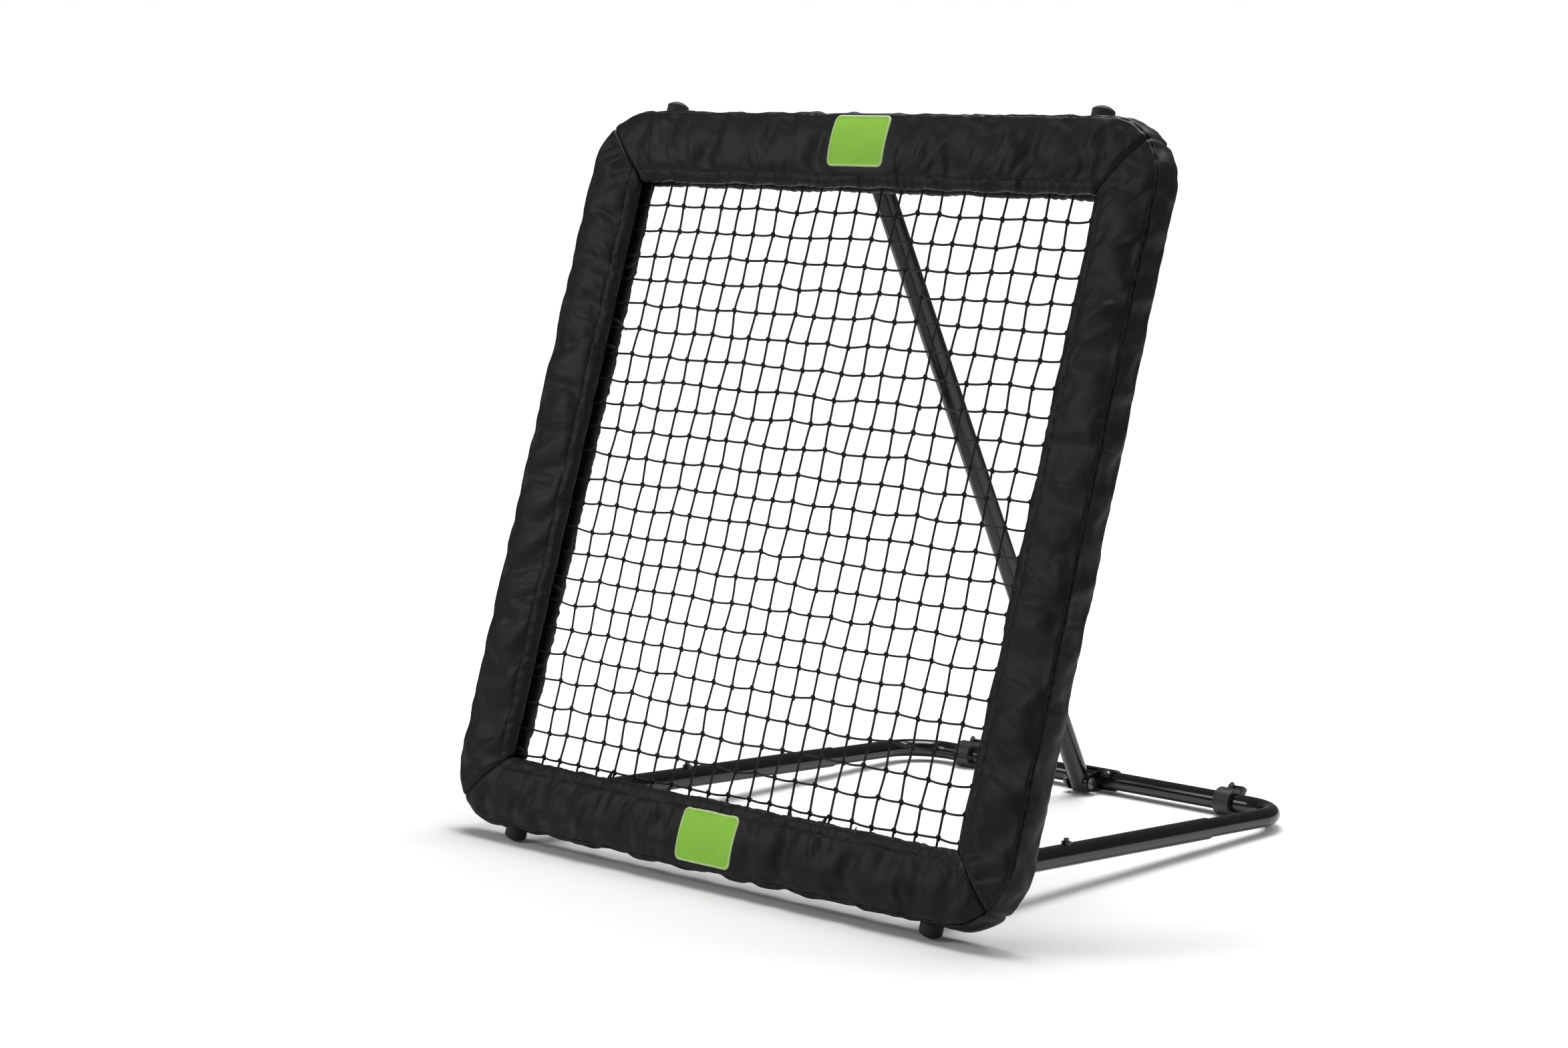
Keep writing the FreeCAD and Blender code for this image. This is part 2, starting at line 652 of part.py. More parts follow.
def rear_u_tube():
    """Rear tube whose two legs slide in the arms."""
    leg = ARM_PIVOT + ARM_DIRECTION * LEG_START
    across = X * ARM_X
    points = [leg - across, REAR_TUBE - across, REAR_TUBE + across, leg + across]
    body = bent_tube(rounded_path(points, REAR_BEND_RADIUS), LEG_RADIUS, LEG_WALL)
    for hole in saddle_rivets()[1]:
        body = body.cut(hole)
    return body


def ring_foot(x):
    """Split ring with a flat to stand on and two tabs that a screw pulls together, and the screw."""
    centre = REAR_TUBE + X * x
    start = centre - X * (RING_LENGTH / 2)
    ring = cylinder(RING_RADIUS, RING_LENGTH, start, X)
    angle = math.radians(RING_TAB_ANGLE)
    out = Vec(0, -math.cos(angle), math.sin(angle))
    aside = X.cross(out)
    thick = RING_SLIT + 2 * RING_TAB_THICKNESS
    reach = RING_RADIUS + RING_TAB_LENGTH
    tabs = Part.makeBox(RING_LENGTH, thick, reach, ORIGIN)
    slit = Part.makeBox(2 * RING_LENGTH, RING_SLIT, 2 * reach, ORIGIN)
    turn = FreeCAD.Rotation(X, aside, out, "XZY")
    tabs.Placement = FreeCAD.Placement(start - aside * (thick / 2), turn)
    slit.Placement = FreeCAD.Placement(start - X * (RING_LENGTH / 2) - aside * (RING_SLIT / 2), turn)
    bore = cylinder(LEG_RADIUS + RING_GAP, 2 * RING_LENGTH, start - X * (RING_LENGTH / 2), X)
    body = ring.fuse(tabs).cut(bore)
    low = centre - Vec(RING_LENGTH, 2 * reach, RING_FLAT + reach)
    floor = box_between(low, centre + Vec(RING_LENGTH, 2 * reach, -RING_FLAT))
    screw_at = centre + out * (RING_RADIUS + RING_TAB_LENGTH / 2)
    grip = thick + 2 * RING_SCREW_RADIUS
    shank = cylinder(RING_SCREW_RADIUS, grip, screw_at - aside * (grip / 2), aside)
    head = cylinder(2 * RING_SCREW_RADIUS, RING_SCREW_RADIUS, screw_at + aside * (thick / 2), aside)
    hole = cylinder(RING_SCREW_RADIUS + HOLE_GAP, 2 * grip, screw_at - aside * grip, aside)
    return body.cut(slit).cut(floor).cut(hole), shank.fuse(head)


def ring_feet():
    left, left_screw = ring_foot(-RING_X)
    right, right_screw = ring_foot(RING_X)
    return {
        "ring_foot_left": left,
        "ring_foot_right": right,
        "ring_foot_screws": Part.makeCompound([left_screw, right_screw]),
    }


def saddle_direction():
    """Direction from the rear tube to its saddle rivets: forward and up."""
    return Vec(0, -math.sqrt(0.5), math.sqrt(0.5))


def saddle_rivets():
    """Rivets through the saddle and the wall of the rear tube, and the holes that they pass through."""
    out = saddle_direction()
    inner = LEG_RADIUS - LEG_WALL - SADDLE_RIVET_TAIL
    outer = LEG_RADIUS + SADDLE_WALL
    rivets = []
    holes = []
    for x in (-SADDLE_RIVET_X, SADDLE_RIVET_X):
        start = REAR_TUBE + X * x + out * inner
        length = outer + SADDLE_RIVET_HEAD - inner
        rivets.append(
            headed_pin(SADDLE_RIVET_RADIUS, length, 2 * SADDLE_RIVET_RADIUS, SADDLE_RIVET_HEAD, start, out)
        )
        holes.append(cylinder(SADDLE_RIVET_RADIUS + HOLE_GAP, length, start, out))
    return rivets, holes


def strut_clevis():
    """Bracket on the rear tube: a saddle behind it and two ears that reach to the strut's pivot."""
    half = TUBE_RADIUS + EAR_GAP
    outer = LEG_RADIUS + SADDLE_WALL
    to_pivot = FOOT_PIVOT - REAR_TUBE
    angle = math.degrees(math.atan2(to_pivot.z, to_pivot.y))
    face = moved(belt_face(0.0, outer, to_pivot.Length, EAR_END_RADIUS), angle, X, REAR_TUBE)
    ears = []
    for start in (-half - EAR_THICKNESS, half):
        ears.append(moved(face, offset=X * start).extrude(X * EAR_THICKNESS))
    wrap = cylinder(outer, 2 * SADDLE_HALF_LENGTH, REAR_TUBE - X * SADDLE_HALF_LENGTH, X)
    reach = 2 * SADDLE_HALF_LENGTH
    below = box_between(Vec(-reach, -reach, -reach), Vec(reach, 0, 0))
    wrap = wrap.cut(moved(below, -SADDLE_EDGE_ANGLE, X, REAR_TUBE))
    between_ears = box_between(Vec(-half, -reach, -reach), Vec(half, 0, reach))
    wrap = wrap.cut(moved(between_ears, SADDLE_GAP_ANGLE, X, REAR_TUBE))
    body = fused([wrap] + ears)
    body = body.cut(cylinder(LEG_RADIUS + RING_GAP, 2 * reach, REAR_TUBE - X * reach, X))
    for hole in saddle_rivets()[1]:
        body = body.cut(hole)
    return body.cut(cross_hole(FOOT_PIVOT, PIVOT_BOLT_RADIUS + HOLE_GAP))


def strut():
    """Strut tube, its hinge sleeve with bolt and nut, and the rounded plug at its foot."""
    length = (FOOT_PIVOT - STRUT_PIVOT).Length
    direction = STRUT_DIRECTION
    bolt_at = STRUT_PIVOT + direction * STRUT_BOLT_AT
    start = STRUT_PIVOT + direction * SLEEVE_COLLAR
    shoulder = FOOT_PIVOT - direction * PLUG_SHOULDER
    body = tube(TUBE_RADIUS, TUBE_WALL, length - SLEEVE_COLLAR - PLUG_SHOULDER, start, direction)
    plug = cylinder(TUBE_RADIUS, PLUG_SHOULDER + 2 * TUBE_RADIUS, shoulder, direction)
    angle = math.degrees(math.atan2(-direction.z, -direction.y))
    nose = belt_face(0.0, TUBE_RADIUS, 4 * TUBE_RADIUS, PLUG_NOSE_SPREAD * TUBE_RADIUS)
    nose = moved(nose, angle, X, FOOT_PIVOT - X * (2 * TUBE_RADIUS)).extrude(X * (4 * TUBE_RADIUS))
    plug = plug.common(nose)
    spigot_start = shoulder - direction * PLUG_SPIGOT
    spigot_length = PLUG_SPIGOT + PLUG_SHOULDER / 2
    plug = plug.fuse(cylinder(BORE_RADIUS - SPIGOT_GAP, spigot_length, spigot_start, direction))
    bolt, nut = tube_bolt(bolt_at)
    return {
        "strut_tube": body.cut(cross_hole(bolt_at, BOLT_RADIUS + HOLE_GAP)),
        "strut_sleeve": hinge_sleeve(STRUT_PIVOT, direction, STRUT_BOLT_AT),
        "strut_bolt": bolt,
        "strut_nut": nut,
        "strut_foot_plug": plug.cut(cross_hole(FOOT_PIVOT, PIVOT_BOLT_RADIUS + PIVOT_SLACK)),
    }


def ground_frame():
    pieces = arms()
    pieces["rear_u_tube"] = rear_u_tube()
    pieces.update(ring_feet())
    pieces["strut_clevis"] = strut_clevis()
    pieces["clevis_rivets"] = Part.makeCompound(saddle_rivets()[0])
    grip = TUBE_RADIUS + EAR_GAP + EAR_THICKNESS
    bolt, nut = cross_bolt(
        FOOT_PIVOT, grip, PIVOT_BOLT_RADIUS, PIVOT_HEAD_RADIUS, PIVOT_HEAD_HEIGHT, PIVOT_NUT_HEIGHT
    )
    pieces["pivot_bolt"] = bolt
    pieces["pivot_nut"] = nut
    return pieces


def net_frame():
    pieces = frame_tubes()
    pieces["foot_stubs"] = Part.makeCompound(
        [on_side(foot_stub(x), side) for side in ("bottom", "top") for x in (-FOOT_X, FOOT_X)]
    )
    pieces["foot_left"] = on_side(foot(-FOOT_X), "bottom")
    pieces["foot_right"] = on_side(foot(FOOT_X), "bottom")
    pieces["top_foot_left"] = on_side(foot(FOOT_X), "top")
    pieces["top_foot_right"] = on_side(foot(-FOOT_X), "top")
    pieces.update(frame_pads())
    pieces["net"] = net()
    pieces["net_border_cord"] = border_cord()
    pieces.update(strap_loops())
    pieces["sleeve_stop_rings"] = stop_rings()
    pieces["badge_top"] = badge(TOP_BADGE_INSET, "top")
    pieces["badge_bottom"] = badge(BOTTOM_BADGE_INSET, "bottom")
    return {name: lean(shape) for name, shape in pieces.items()}


def main():
    os.makedirs("parts", exist_ok=True)
    pieces = net_frame()
    pieces.update(ground_frame())
    pieces.update(strut())
    bounds = Part.makeCompound(list(pieces.values())).optimalBoundingBox(False, False)
    shift = Vec(-bounds.Center.x, -bounds.Center.y, -bounds.ZMin)
    for name, shape in sorted(pieces.items()):
        shape = moved(shape, offset=shift)
        shape.exportStep("parts/" + name + ".step")
        print(name, "solids", len(shape.Solids), "valid", shape.isValid(), "volume", round(shape.Volume, 1))
    print("size", round(bounds.XLength, 3), round(bounds.YLength, 3), round(bounds.ZLength, 3))
    print("shift", shift)
    for name, point in (
        ("arm pivot", ARM_PIVOT),
        ("strut pivot", STRUT_PIVOT),
        ("foot pivot", FOOT_PIVOT),
        ("rear tube", REAR_TUBE),
    ):
        print(name, point + shift)
    print("arm direction", ARM_DIRECTION)
    print("strut direction", STRUT_DIRECTION)


main()
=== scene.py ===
import json
import math
import random

import bmesh
import bpy
import numpy as np
from bpy.props import FloatProperty, FloatVectorProperty, IntProperty, PointerProperty
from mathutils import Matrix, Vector


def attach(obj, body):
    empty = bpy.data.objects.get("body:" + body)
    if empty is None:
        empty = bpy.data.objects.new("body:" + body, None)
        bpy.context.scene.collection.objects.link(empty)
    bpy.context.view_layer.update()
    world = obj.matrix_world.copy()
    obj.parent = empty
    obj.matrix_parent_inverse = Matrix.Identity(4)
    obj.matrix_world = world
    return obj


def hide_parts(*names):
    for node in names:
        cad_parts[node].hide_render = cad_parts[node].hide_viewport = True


bl_info = {
    "name": "Pitch back rebounder",
    "version": (1, 0, 0),
    "blender": (4, 5, 0),
    "location": "View3D > Sidebar > Rebounder",
    "description": "Dresses the frame of a pitch back rebounder with its cover, net, badges and finishes",
    "category": "Add Mesh",
}

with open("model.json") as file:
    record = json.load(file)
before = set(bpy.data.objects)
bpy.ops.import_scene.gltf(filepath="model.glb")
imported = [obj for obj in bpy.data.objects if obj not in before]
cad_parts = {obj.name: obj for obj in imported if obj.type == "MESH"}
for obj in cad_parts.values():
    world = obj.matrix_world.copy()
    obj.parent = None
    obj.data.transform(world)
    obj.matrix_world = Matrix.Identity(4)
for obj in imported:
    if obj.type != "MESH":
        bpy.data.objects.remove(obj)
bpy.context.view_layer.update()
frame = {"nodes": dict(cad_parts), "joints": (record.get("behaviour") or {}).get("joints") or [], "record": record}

# Places on the frame, in millimetres: u across, v up the frame from the tips of its feet, w out of its front
MM = 0.001
PIVOTS = {joint["name"]: Vector(joint.get("pos_m", (0, 0, 0))) for joint in frame["joints"]}
LOW_TUBE_V = 54.0
ACROSS = Vector((1, 0, 0))
UPWARD = (PIVOTS["strut_swing"] - PIVOTS["net_tilt"]).normalized()
OUTWARD = ACROSS.cross(UPWARD)
BASE = PIVOTS["net_tilt"] - UPWARD * (LOW_TUBE_V * MM)

COVER_WIDTH = 840.0
COVER_LOW = 14.0
COVER_HIGH = 872.0
CORNER_RADIUS = 78.0
PAD_WIDTHS = {"bottom": 79.0, "top": 86.0, "left": 81.0, "right": 81.0}
TUBE_INSET = 40.0
CORD_INSET = 63.0
FOOT_U = 316.0
FOOT_HOLE_RADIUS = 13.0
FOOT_HOLE_DEPTH = 26.0
FOOT_HOLE_SIDES = 40
CUT_PAST = 12.0
ARM_U = 290.0
NOTCH_HALF = 13.3
ARM_NOTCH_RISE = 27.5
STRUT_NOTCH_STEP = 20.0
STRUT_NOTCH_FRONT = -12.0
SHARP_ANGLE = math.radians(52)

# Strength of the gathers at both ends of a pad, in the order of its drawn run
GATHERS = {"bottom": (0.3, 0.4), "top": (0.6, 0.4), "left": (1.5, 0.4), "right": (0.9, 0.8)}
# Folds that show in the photograph: place along the drawn run, lean, width and depth
SHOWN_FOLDS = {
    "bottom": ((-196, 0.15, 6.0, 1.0), (-158, 0.35, 5.0, 0.9), (-118, 0.2, 7.0, 0.8), (170, -0.2, 7.0, 0.6)),
    "top": ((-95, 0.7, 5.0, 0.8), (-122, 0.8, 4.5, 0.9), (-168, 0.9, 5.0, 0.7), (-260, 0.4, 7.0, 0.7)),
    "left": ((60, 0.3, 8.0, 0.6), (-120, -0.2, 9.0, 0.5)),
    "right": ((190, -0.5, 5.0, 0.9), (215, -0.6, 5.0, 0.9), (-70, 0.6, 6.0, 0.7), (-40, 0.5, 5.0, 0.7)),
}


def to_world(uvw):
    """World points of an array of u, v, w points."""
    axes = np.array([ACROSS, UPWARD, OUTWARD], float)
    return np.array(BASE, float) + np.asarray(uvw, float) * MM @ axes


class CoverSettings(bpy.types.PropertyGroup):
    cloth: FloatVectorProperty(
        name="Cloth colour", description="Colour of the coated cloth", subtype="COLOR", size=3,
        min=0.0, max=1.0, default=(0.0085, 0.0085, 0.0092),
    )
    grid: FloatProperty(
        name="Cloth grid", description="Spacing of the cloth's mesh in millimetres",
        default=3.4, min=1.5, max=12.0,
    )
    seam_depth: FloatProperty(
        name="Seam depth", description="How deep the seams draw in, in millimetres",
        default=2.2, min=0.0, max=5.0,
    )
    hem: FloatProperty(
        name="Hem", description="Distance of the hem's stitch line from the inner edge, in millimetres",
        default=13.0, min=4.0, max=30.0,
    )
    fold: FloatProperty(
        name="Fold depth", description="Depth of the soft folds, in millimetres",
        default=2.0, min=0.0, max=6.0,
    )
    coarse: FloatProperty(
        name="Simulation grid", description="Spacing of the simulated cloth's mesh in millimetres",
        default=6.5, min=3.0, max=20.0,
    )
    ease: FloatProperty(
        name="Ease", description="Share by which the cloth is cut larger than its filling",
        default=0.035, min=0.0, max=0.2,
    )
    pressure: FloatProperty(
        name="Pressure", description="Pressure of the filling", default=2.5, min=0.0, max=20.0,
    )
    reach: FloatProperty(
        name="Largest move", description="How far the cloth may move in the simulation, in millimetres",
        default=2.6, min=0.0, max=20.0,
    )
    frames: IntProperty(name="Frames", description="Frames of the simulation", default=18, min=2, max=60)


class NetSettings(bpy.types.PropertyGroup):
    cord: FloatVectorProperty(
        name="Cord colour", description="Colour of the net's cord", subtype="COLOR", size=3,
        min=0.0, max=1.0, default=(0.006, 0.006, 0.0063),
    )
    mesh: FloatProperty(
        name="Mesh", description="Distance from knot to knot, in millimetres",
        default=30.0, min=15.0, max=80.0,
    )
    thickness: FloatProperty(
        name="Cord thickness", description="Thickness of the net's cord, in millimetres",
        default=2.5, min=1.0, max=5.0,
    )
    slack: FloatProperty(
        name="Slack", description="How far a knot strays from its place, in millimetres",
        default=1.9, min=0.0, max=6.0,
    )


class BadgeSettings(bpy.types.PropertyGroup):
    face: FloatVectorProperty(
        name="Badge colour", description="Colour of the badges", subtype="COLOR", size=3,
        min=0.0, max=1.0, default=(0.33, 0.70, 0.066),
    )
    rim: FloatVectorProperty(
        name="Rim colour", description="Colour of the badges' sewn rims", subtype="COLOR", size=3,
        min=0.0, max=1.0, default=(0.66, 0.90, 0.40),
    )
    width: FloatProperty(name="Width", description="Width in millimetres", default=83.0, min=20.0, max=200.0)
    height: FloatProperty(
        name="Height", description="Height in millimetres", default=59.0, min=20.0, max=200.0,
    )
    corner: FloatProperty(
        name="Corner", description="Corner radius in millimetres", default=7.0, min=1.0, max=20.0,
    )


class MetalSettings(bpy.types.PropertyGroup):
    paint: FloatVectorProperty(
        name="Paint colour", description="Colour of the powder coat", subtype="COLOR", size=3,
        min=0.0, max=1.0, default=(0.004, 0.004, 0.0043),
    )
    zinc: FloatVectorProperty(
        name="Fastener colour", description="Colour of the dark zinc on the fasteners",
        subtype="COLOR", size=3, min=0.0, max=1.0, default=(0.11, 0.11, 0.115),
    )
    rubber: FloatVectorProperty(
        name="Rubber colour", description="Colour of the rubber feet", subtype="COLOR", size=3,
        min=0.0, max=1.0, default=(0.012, 0.012, 0.012),
    )


class StageSettings(bpy.types.PropertyGroup):
    lens: FloatProperty(
        name="Lens", description="Focal length in millimetres", default=75.79, min=20.0, max=200.0,
    )
    azimuth: FloatProperty(
        name="Azimuth", description="Direction of the camera round the part", subtype="ANGLE",
        default=math.radians(43.33),
    )
    elevation: FloatProperty(
        name="Elevation", description="Height angle of the camera", subtype="ANGLE",
        default=math.radians(7.77),
    )
    camera: FloatVectorProperty(
        name="Camera", description="Place of the camera", subtype="TRANSLATION", unit="LENGTH", size=3,
        default=(2.4652, -2.8382, 0.8774),
    )
    key: FloatProperty(
        name="Overhead light", description="Power of the overhead lamp in watts", default=92.0, min=0.0,
    )
    fill: FloatProperty(
        name="Front light", description="Power of the front lamp in watts", default=21.0, min=0.0,
    )
    rim: FloatProperty(
        name="Side light", description="Power of the side lamp in watts", default=14.0, min=0.0,
    )
    strip: FloatProperty(
        name="Strip light", description="Power of the strip lamp in watts", default=14.0, min=0.0,
    )
    world: FloatProperty(
        name="World light", description="Strength of the world's light", default=0.13, min=0.0,
    )
    glow: FloatProperty(
        name="Floor glow", description="Light that the floor adds for the camera", default=0.02, min=0.0,
    )


# Shader graphs


class Graph:
    """Small helper that adds and joins the nodes of one material."""

    def __init__(self, name):
        self.material = bpy.data.materials.new(name)
        self.material.use_nodes = True
        self.tree = self.material.node_tree
        self.tree.nodes.clear()
        self.shader = self.add("ShaderNodeBsdfPrincipled")
        self.out = self.add("ShaderNodeOutputMaterial")
        self.join(self.shader.outputs[0], self.out.inputs["Surface"])

    def add(self, kind, **values):
        node = self.tree.nodes.new(kind)
        for key, value in values.items():
            setattr(node, key, value)
        return node

    def join(self, source, target):
        self.tree.links.new(source, target)

    def feed(self, socket, value):
        """Joins a socket, or sets a plain value."""
        if isinstance(value, bpy.types.NodeSocket):
            self.join(value, socket)
        else:
            socket.default_value = value

    def place(self, source="Object"):
        return self.add("ShaderNodeTexCoord").outputs[source]

    def scaled(self, vector, scale):
        node = self.add("ShaderNodeMapping")
        self.join(vector, node.inputs["Vector"])
        node.inputs["Scale"].default_value = scale
        return node.outputs["Vector"]

    def noise(self, vector, scale, detail=2.0, rough=0.5):
        node = self.add("ShaderNodeTexNoise")
        self.join(vector, node.inputs["Vector"])
        node.inputs["Scale"].default_value = scale
        node.inputs["Detail"].default_value = detail
        node.inputs["Roughness"].default_value = rough
        return node.outputs["Fac"]

    def wave(self, vector, scale, direction, distortion=0.0):
        node = self.add("ShaderNodeTexWave", wave_type="BANDS", bands_direction=direction, wave_profile="SIN")
        self.join(vector, node.inputs["Vector"])
        node.inputs["Scale"].default_value = scale
        node.inputs["Distortion"].default_value = distortion
        return node.outputs["Fac"]

    def math(self, operation, first, second=0.0):
        node = self.add("ShaderNodeMath", operation=operation)
        self.feed(node.inputs[0], first)
        self.feed(node.inputs[1], second)
        return node.outputs[0]

    def spread(self, value, low, high):
        """Moves a value from 0 to 1 into the range from low to high."""
        node = self.add("ShaderNodeMapRange")
        self.feed(node.inputs["Value"], value)
        node.inputs["To Min"].default_value = low
        node.inputs["To Max"].default_value = high
        return node.outputs["Result"]

    def mix(self, share, first, second):
        node = self.add("ShaderNodeMix", data_type="RGBA")
        self.feed(node.inputs[0], share)
        self.feed(node.inputs[6], first)
        self.feed(node.inputs[7], second)
        return node.outputs[2]

    def bump(self, height, strength, distance, below=None):
        node = self.add("ShaderNodeBump")
        node.inputs["Strength"].default_value = strength
        node.inputs["Distance"].default_value = distance
        self.join(height, node.inputs["Height"])
        if below is not None:
            self.join(below, node.inputs["Normal"])
        return node.outputs["Normal"]

    def tint(self, share, colour, low, high):
        """Colours the shader between two shades of a colour."""
        self.join(self.mix(share, shade(colour, low), shade(colour, high)), self.shader.inputs["Base Color"])

    def roughness(self, value, low, high):
        self.join(self.spread(value, low, high), self.shader.inputs["Roughness"])

    def raised(self, height, strength, distance, below=None):
        """Gives the shader its last bump, and returns the finished material."""
        self.join(self.bump(height, strength, distance, below), self.shader.inputs["Normal"])
        return self.material


def shade(colour, factor):
    """A colour made lighter or darker, with its alpha."""
    return (*(min(1.0, channel * factor) for channel in colour), 1.0)


def coated_cloth(settings):
    """Black polyester with a coating: plain weave, soft sheen, faint scuffs and small creases."""
    graph = Graph("coated_cloth")
    uv = graph.place("UV")
    place = graph.place()
    cloudy = graph.noise(place, 9.0, 4.0, 0.6)
    scuffs = graph.noise(graph.scaled(place, (18.0, 90.0, 18.0)), 3.0, 3.0, 0.7)
    graph.tint(cloudy, settings.cloth, 0.8, 1.25)
    graph.roughness(graph.math("ADD", cloudy, scuffs), 0.32, 0.48)
    graph.shader.inputs["Specular IOR Level"].default_value = 0.2
    field = graph.noise(graph.scaled(uv, (34.0, 12.0, 1.0)), 1.0, 2.0, 0.45)
    crease = graph.math("ABSOLUTE", graph.math("SUBTRACT", field, 0.5))
    crease = graph.math("MINIMUM", graph.math("MULTIPLY", crease, 9.0), 1.0)
    share = graph.spread(graph.noise(graph.scaled(uv, (9.0, 6.0, 1.0)), 1.0, 1.0), -1.1, 2.1)
    share = graph.math("MAXIMUM", graph.math("MINIMUM", share, 1.0), 0.0)
    folds = graph.bump(graph.math("MULTIPLY", crease, share), 0.36, 0.0016)
    crinkle = graph.bump(graph.noise(place, 70.0, 3.0, 0.55), 0.2, 0.001, folds)
    threads = graph.math("MULTIPLY", graph.wave(uv, 320.0, "X"), graph.wave(uv, 320.0, "Y"))
    return graph.raised(threads, 0.15, 0.0002, crinkle)


def twisted_cord(settings):
    """Braided black polyethylene cord, slightly glossy on the high strands."""
    graph = Graph("twisted_cord")
    place = graph.place()
    twist = graph.wave(place, 420.0, "DIAGONAL", 1.5)
    graph.tint(graph.noise(place, 40.0, 3.0), settings.cord, 0.7, 1.5)
    graph.roughness(twist, 0.5, 0.68)
    graph.shader.inputs["Specular IOR Level"].default_value = 0.35
    return graph.raised(twist, 0.5, 0.0003)


def webbing(settings):
    """Flat black strap with ribs along it."""
    graph = Graph("strap_webbing")
    place = graph.place()
    ribs = graph.wave(place, 260.0, "X")
    picks = graph.wave(place, 200.0, "Z")
    graph.tint(ribs, settings.cord, 0.7, 1.4)
    graph.shader.inputs["Roughness"].default_value = 0.6
    return graph.raised(graph.math("ADD", ribs, picks), 0.35, 0.0003)


def powder_coat(settings):
    """Glossy black powder coat with a faint orange peel and a little dust."""
    graph = Graph("powder_coat")
    place = graph.place()
    wear = graph.noise(place, 14.0, 5.0, 0.65)
    graph.tint(wear, settings.paint, 0.8, 1.6)
    graph.roughness(wear, 0.1, 0.2)
    graph.shader.inputs["Specular IOR Level"].default_value = 0.55
    return graph.raised(graph.noise(place, 420.0, 2.0, 0.5), 0.03, 0.0001)


def dark_zinc(settings):
    """Dark zinc plating with fine tool marks."""
    graph = Graph("dark_zinc")
    marks = graph.noise(graph.scaled(graph.place(), (40.0, 900.0, 900.0)), 1.0, 3.0, 0.6)
    graph.tint(marks, settings.zinc, 0.7, 1.3)
    graph.shader.inputs["Metallic"].default_value = 1.0
    graph.roughness(marks, 0.28, 0.45)
    return graph.raised(marks, 0.15, 0.0002)


def black_rubber(settings):
    """Matt rubber with a fine grain and pale dust in it."""
    graph = Graph("black_rubber")
    place = graph.place()
    dust = graph.noise(place, 70.0, 5.0, 0.7)
    graph.tint(dust, settings.rubber, 0.8, 2.0)
    graph.roughness(dust, 0.65, 0.85)
    return graph.raised(graph.noise(place, 900.0, 2.0, 0.6), 0.25, 0.0002)


def moulded_plastic(settings):
    """Black moulded plastic with a fine spark texture."""
    graph = Graph("moulded_plastic")
    place = graph.place()
    cloudy = graph.noise(place, 30.0, 3.0)
    graph.tint(cloudy, settings.rubber, 0.8, 1.3)
    graph.roughness(cloudy, 0.38, 0.5)
    return graph.raised(graph.noise(place, 1400.0, 2.0, 0.5), 0.18, 0.00015)


def badge_face(settings):
    """Green woven patch with a fine satin weave."""
    graph = Graph("badge_face")
    uv = graph.place("UV")
    cloudy = graph.noise(uv, 45.0, 4.0, 0.6)
    graph.tint(cloudy, settings.face, 0.93, 1.07)
    graph.roughness(cloudy, 0.5, 0.62)
    graph.shader.inputs["Specular IOR Level"].default_value = 0.3
    threads = graph.math("ADD", graph.wave(uv, 520.0, "Y"), graph.wave(uv, 130.0, "X"))
    return graph.raised(threads, 0.12, 0.0002)


def badge_rim(settings):
    """Overlocked rim of the patch, paler than its face."""
    graph = Graph("badge_rim")
    threads = graph.wave(graph.place("UV"), 600.0, "X")
    graph.tint(threads, settings.rim, 0.8, 1.1)
    graph.shader.inputs["Roughness"].default_value = 0.6
    return graph.raised(threads, 0.5, 0.0003)


# Meshes


def arc_samples(start, middle, end, step):
    """Points of the arc through three points, about one step apart."""
    (ax, ay), (bx, by), (cx, cy) = start, middle, end
    turn = 2 * (ax * (by - cy) + bx * (cy - ay) + cx * (ay - by))
    squares = (ax * ax + ay * ay, bx * bx + by * by, cx * cx + cy * cy)
    ox = (squares[0] * (by - cy) + squares[1] * (cy - ay) + squares[2] * (ay - by)) / turn
    oy = (squares[0] * (cx - bx) + squares[1] * (ax - cx) + squares[2] * (bx - ax)) / turn
    radius = math.hypot(ax - ox, ay - oy)
    first = math.atan2(ay - oy, ax - ox)
    sweep = (math.atan2(cy - oy, cx - ox) - first) % math.tau
    half = (math.atan2(by - oy, bx - ox) - first) % math.tau
    if half > sweep:
        sweep -= math.tau
    count = max(2, math.ceil(abs(sweep) * radius / step))
    angles = first + sweep * np.arange(count + 1) / count
    return np.stack([ox + radius * np.cos(angles), oy + radius * np.sin(angles)], axis=1)


def line_samples(start, end, step):
    """Points of a line, about one step apart."""
    count = max(1, math.ceil(math.dist(start, end) / step))
    share = np.arange(count + 1)[:, None] / count
    return np.array(start) * (1 - share) + np.array(end) * share


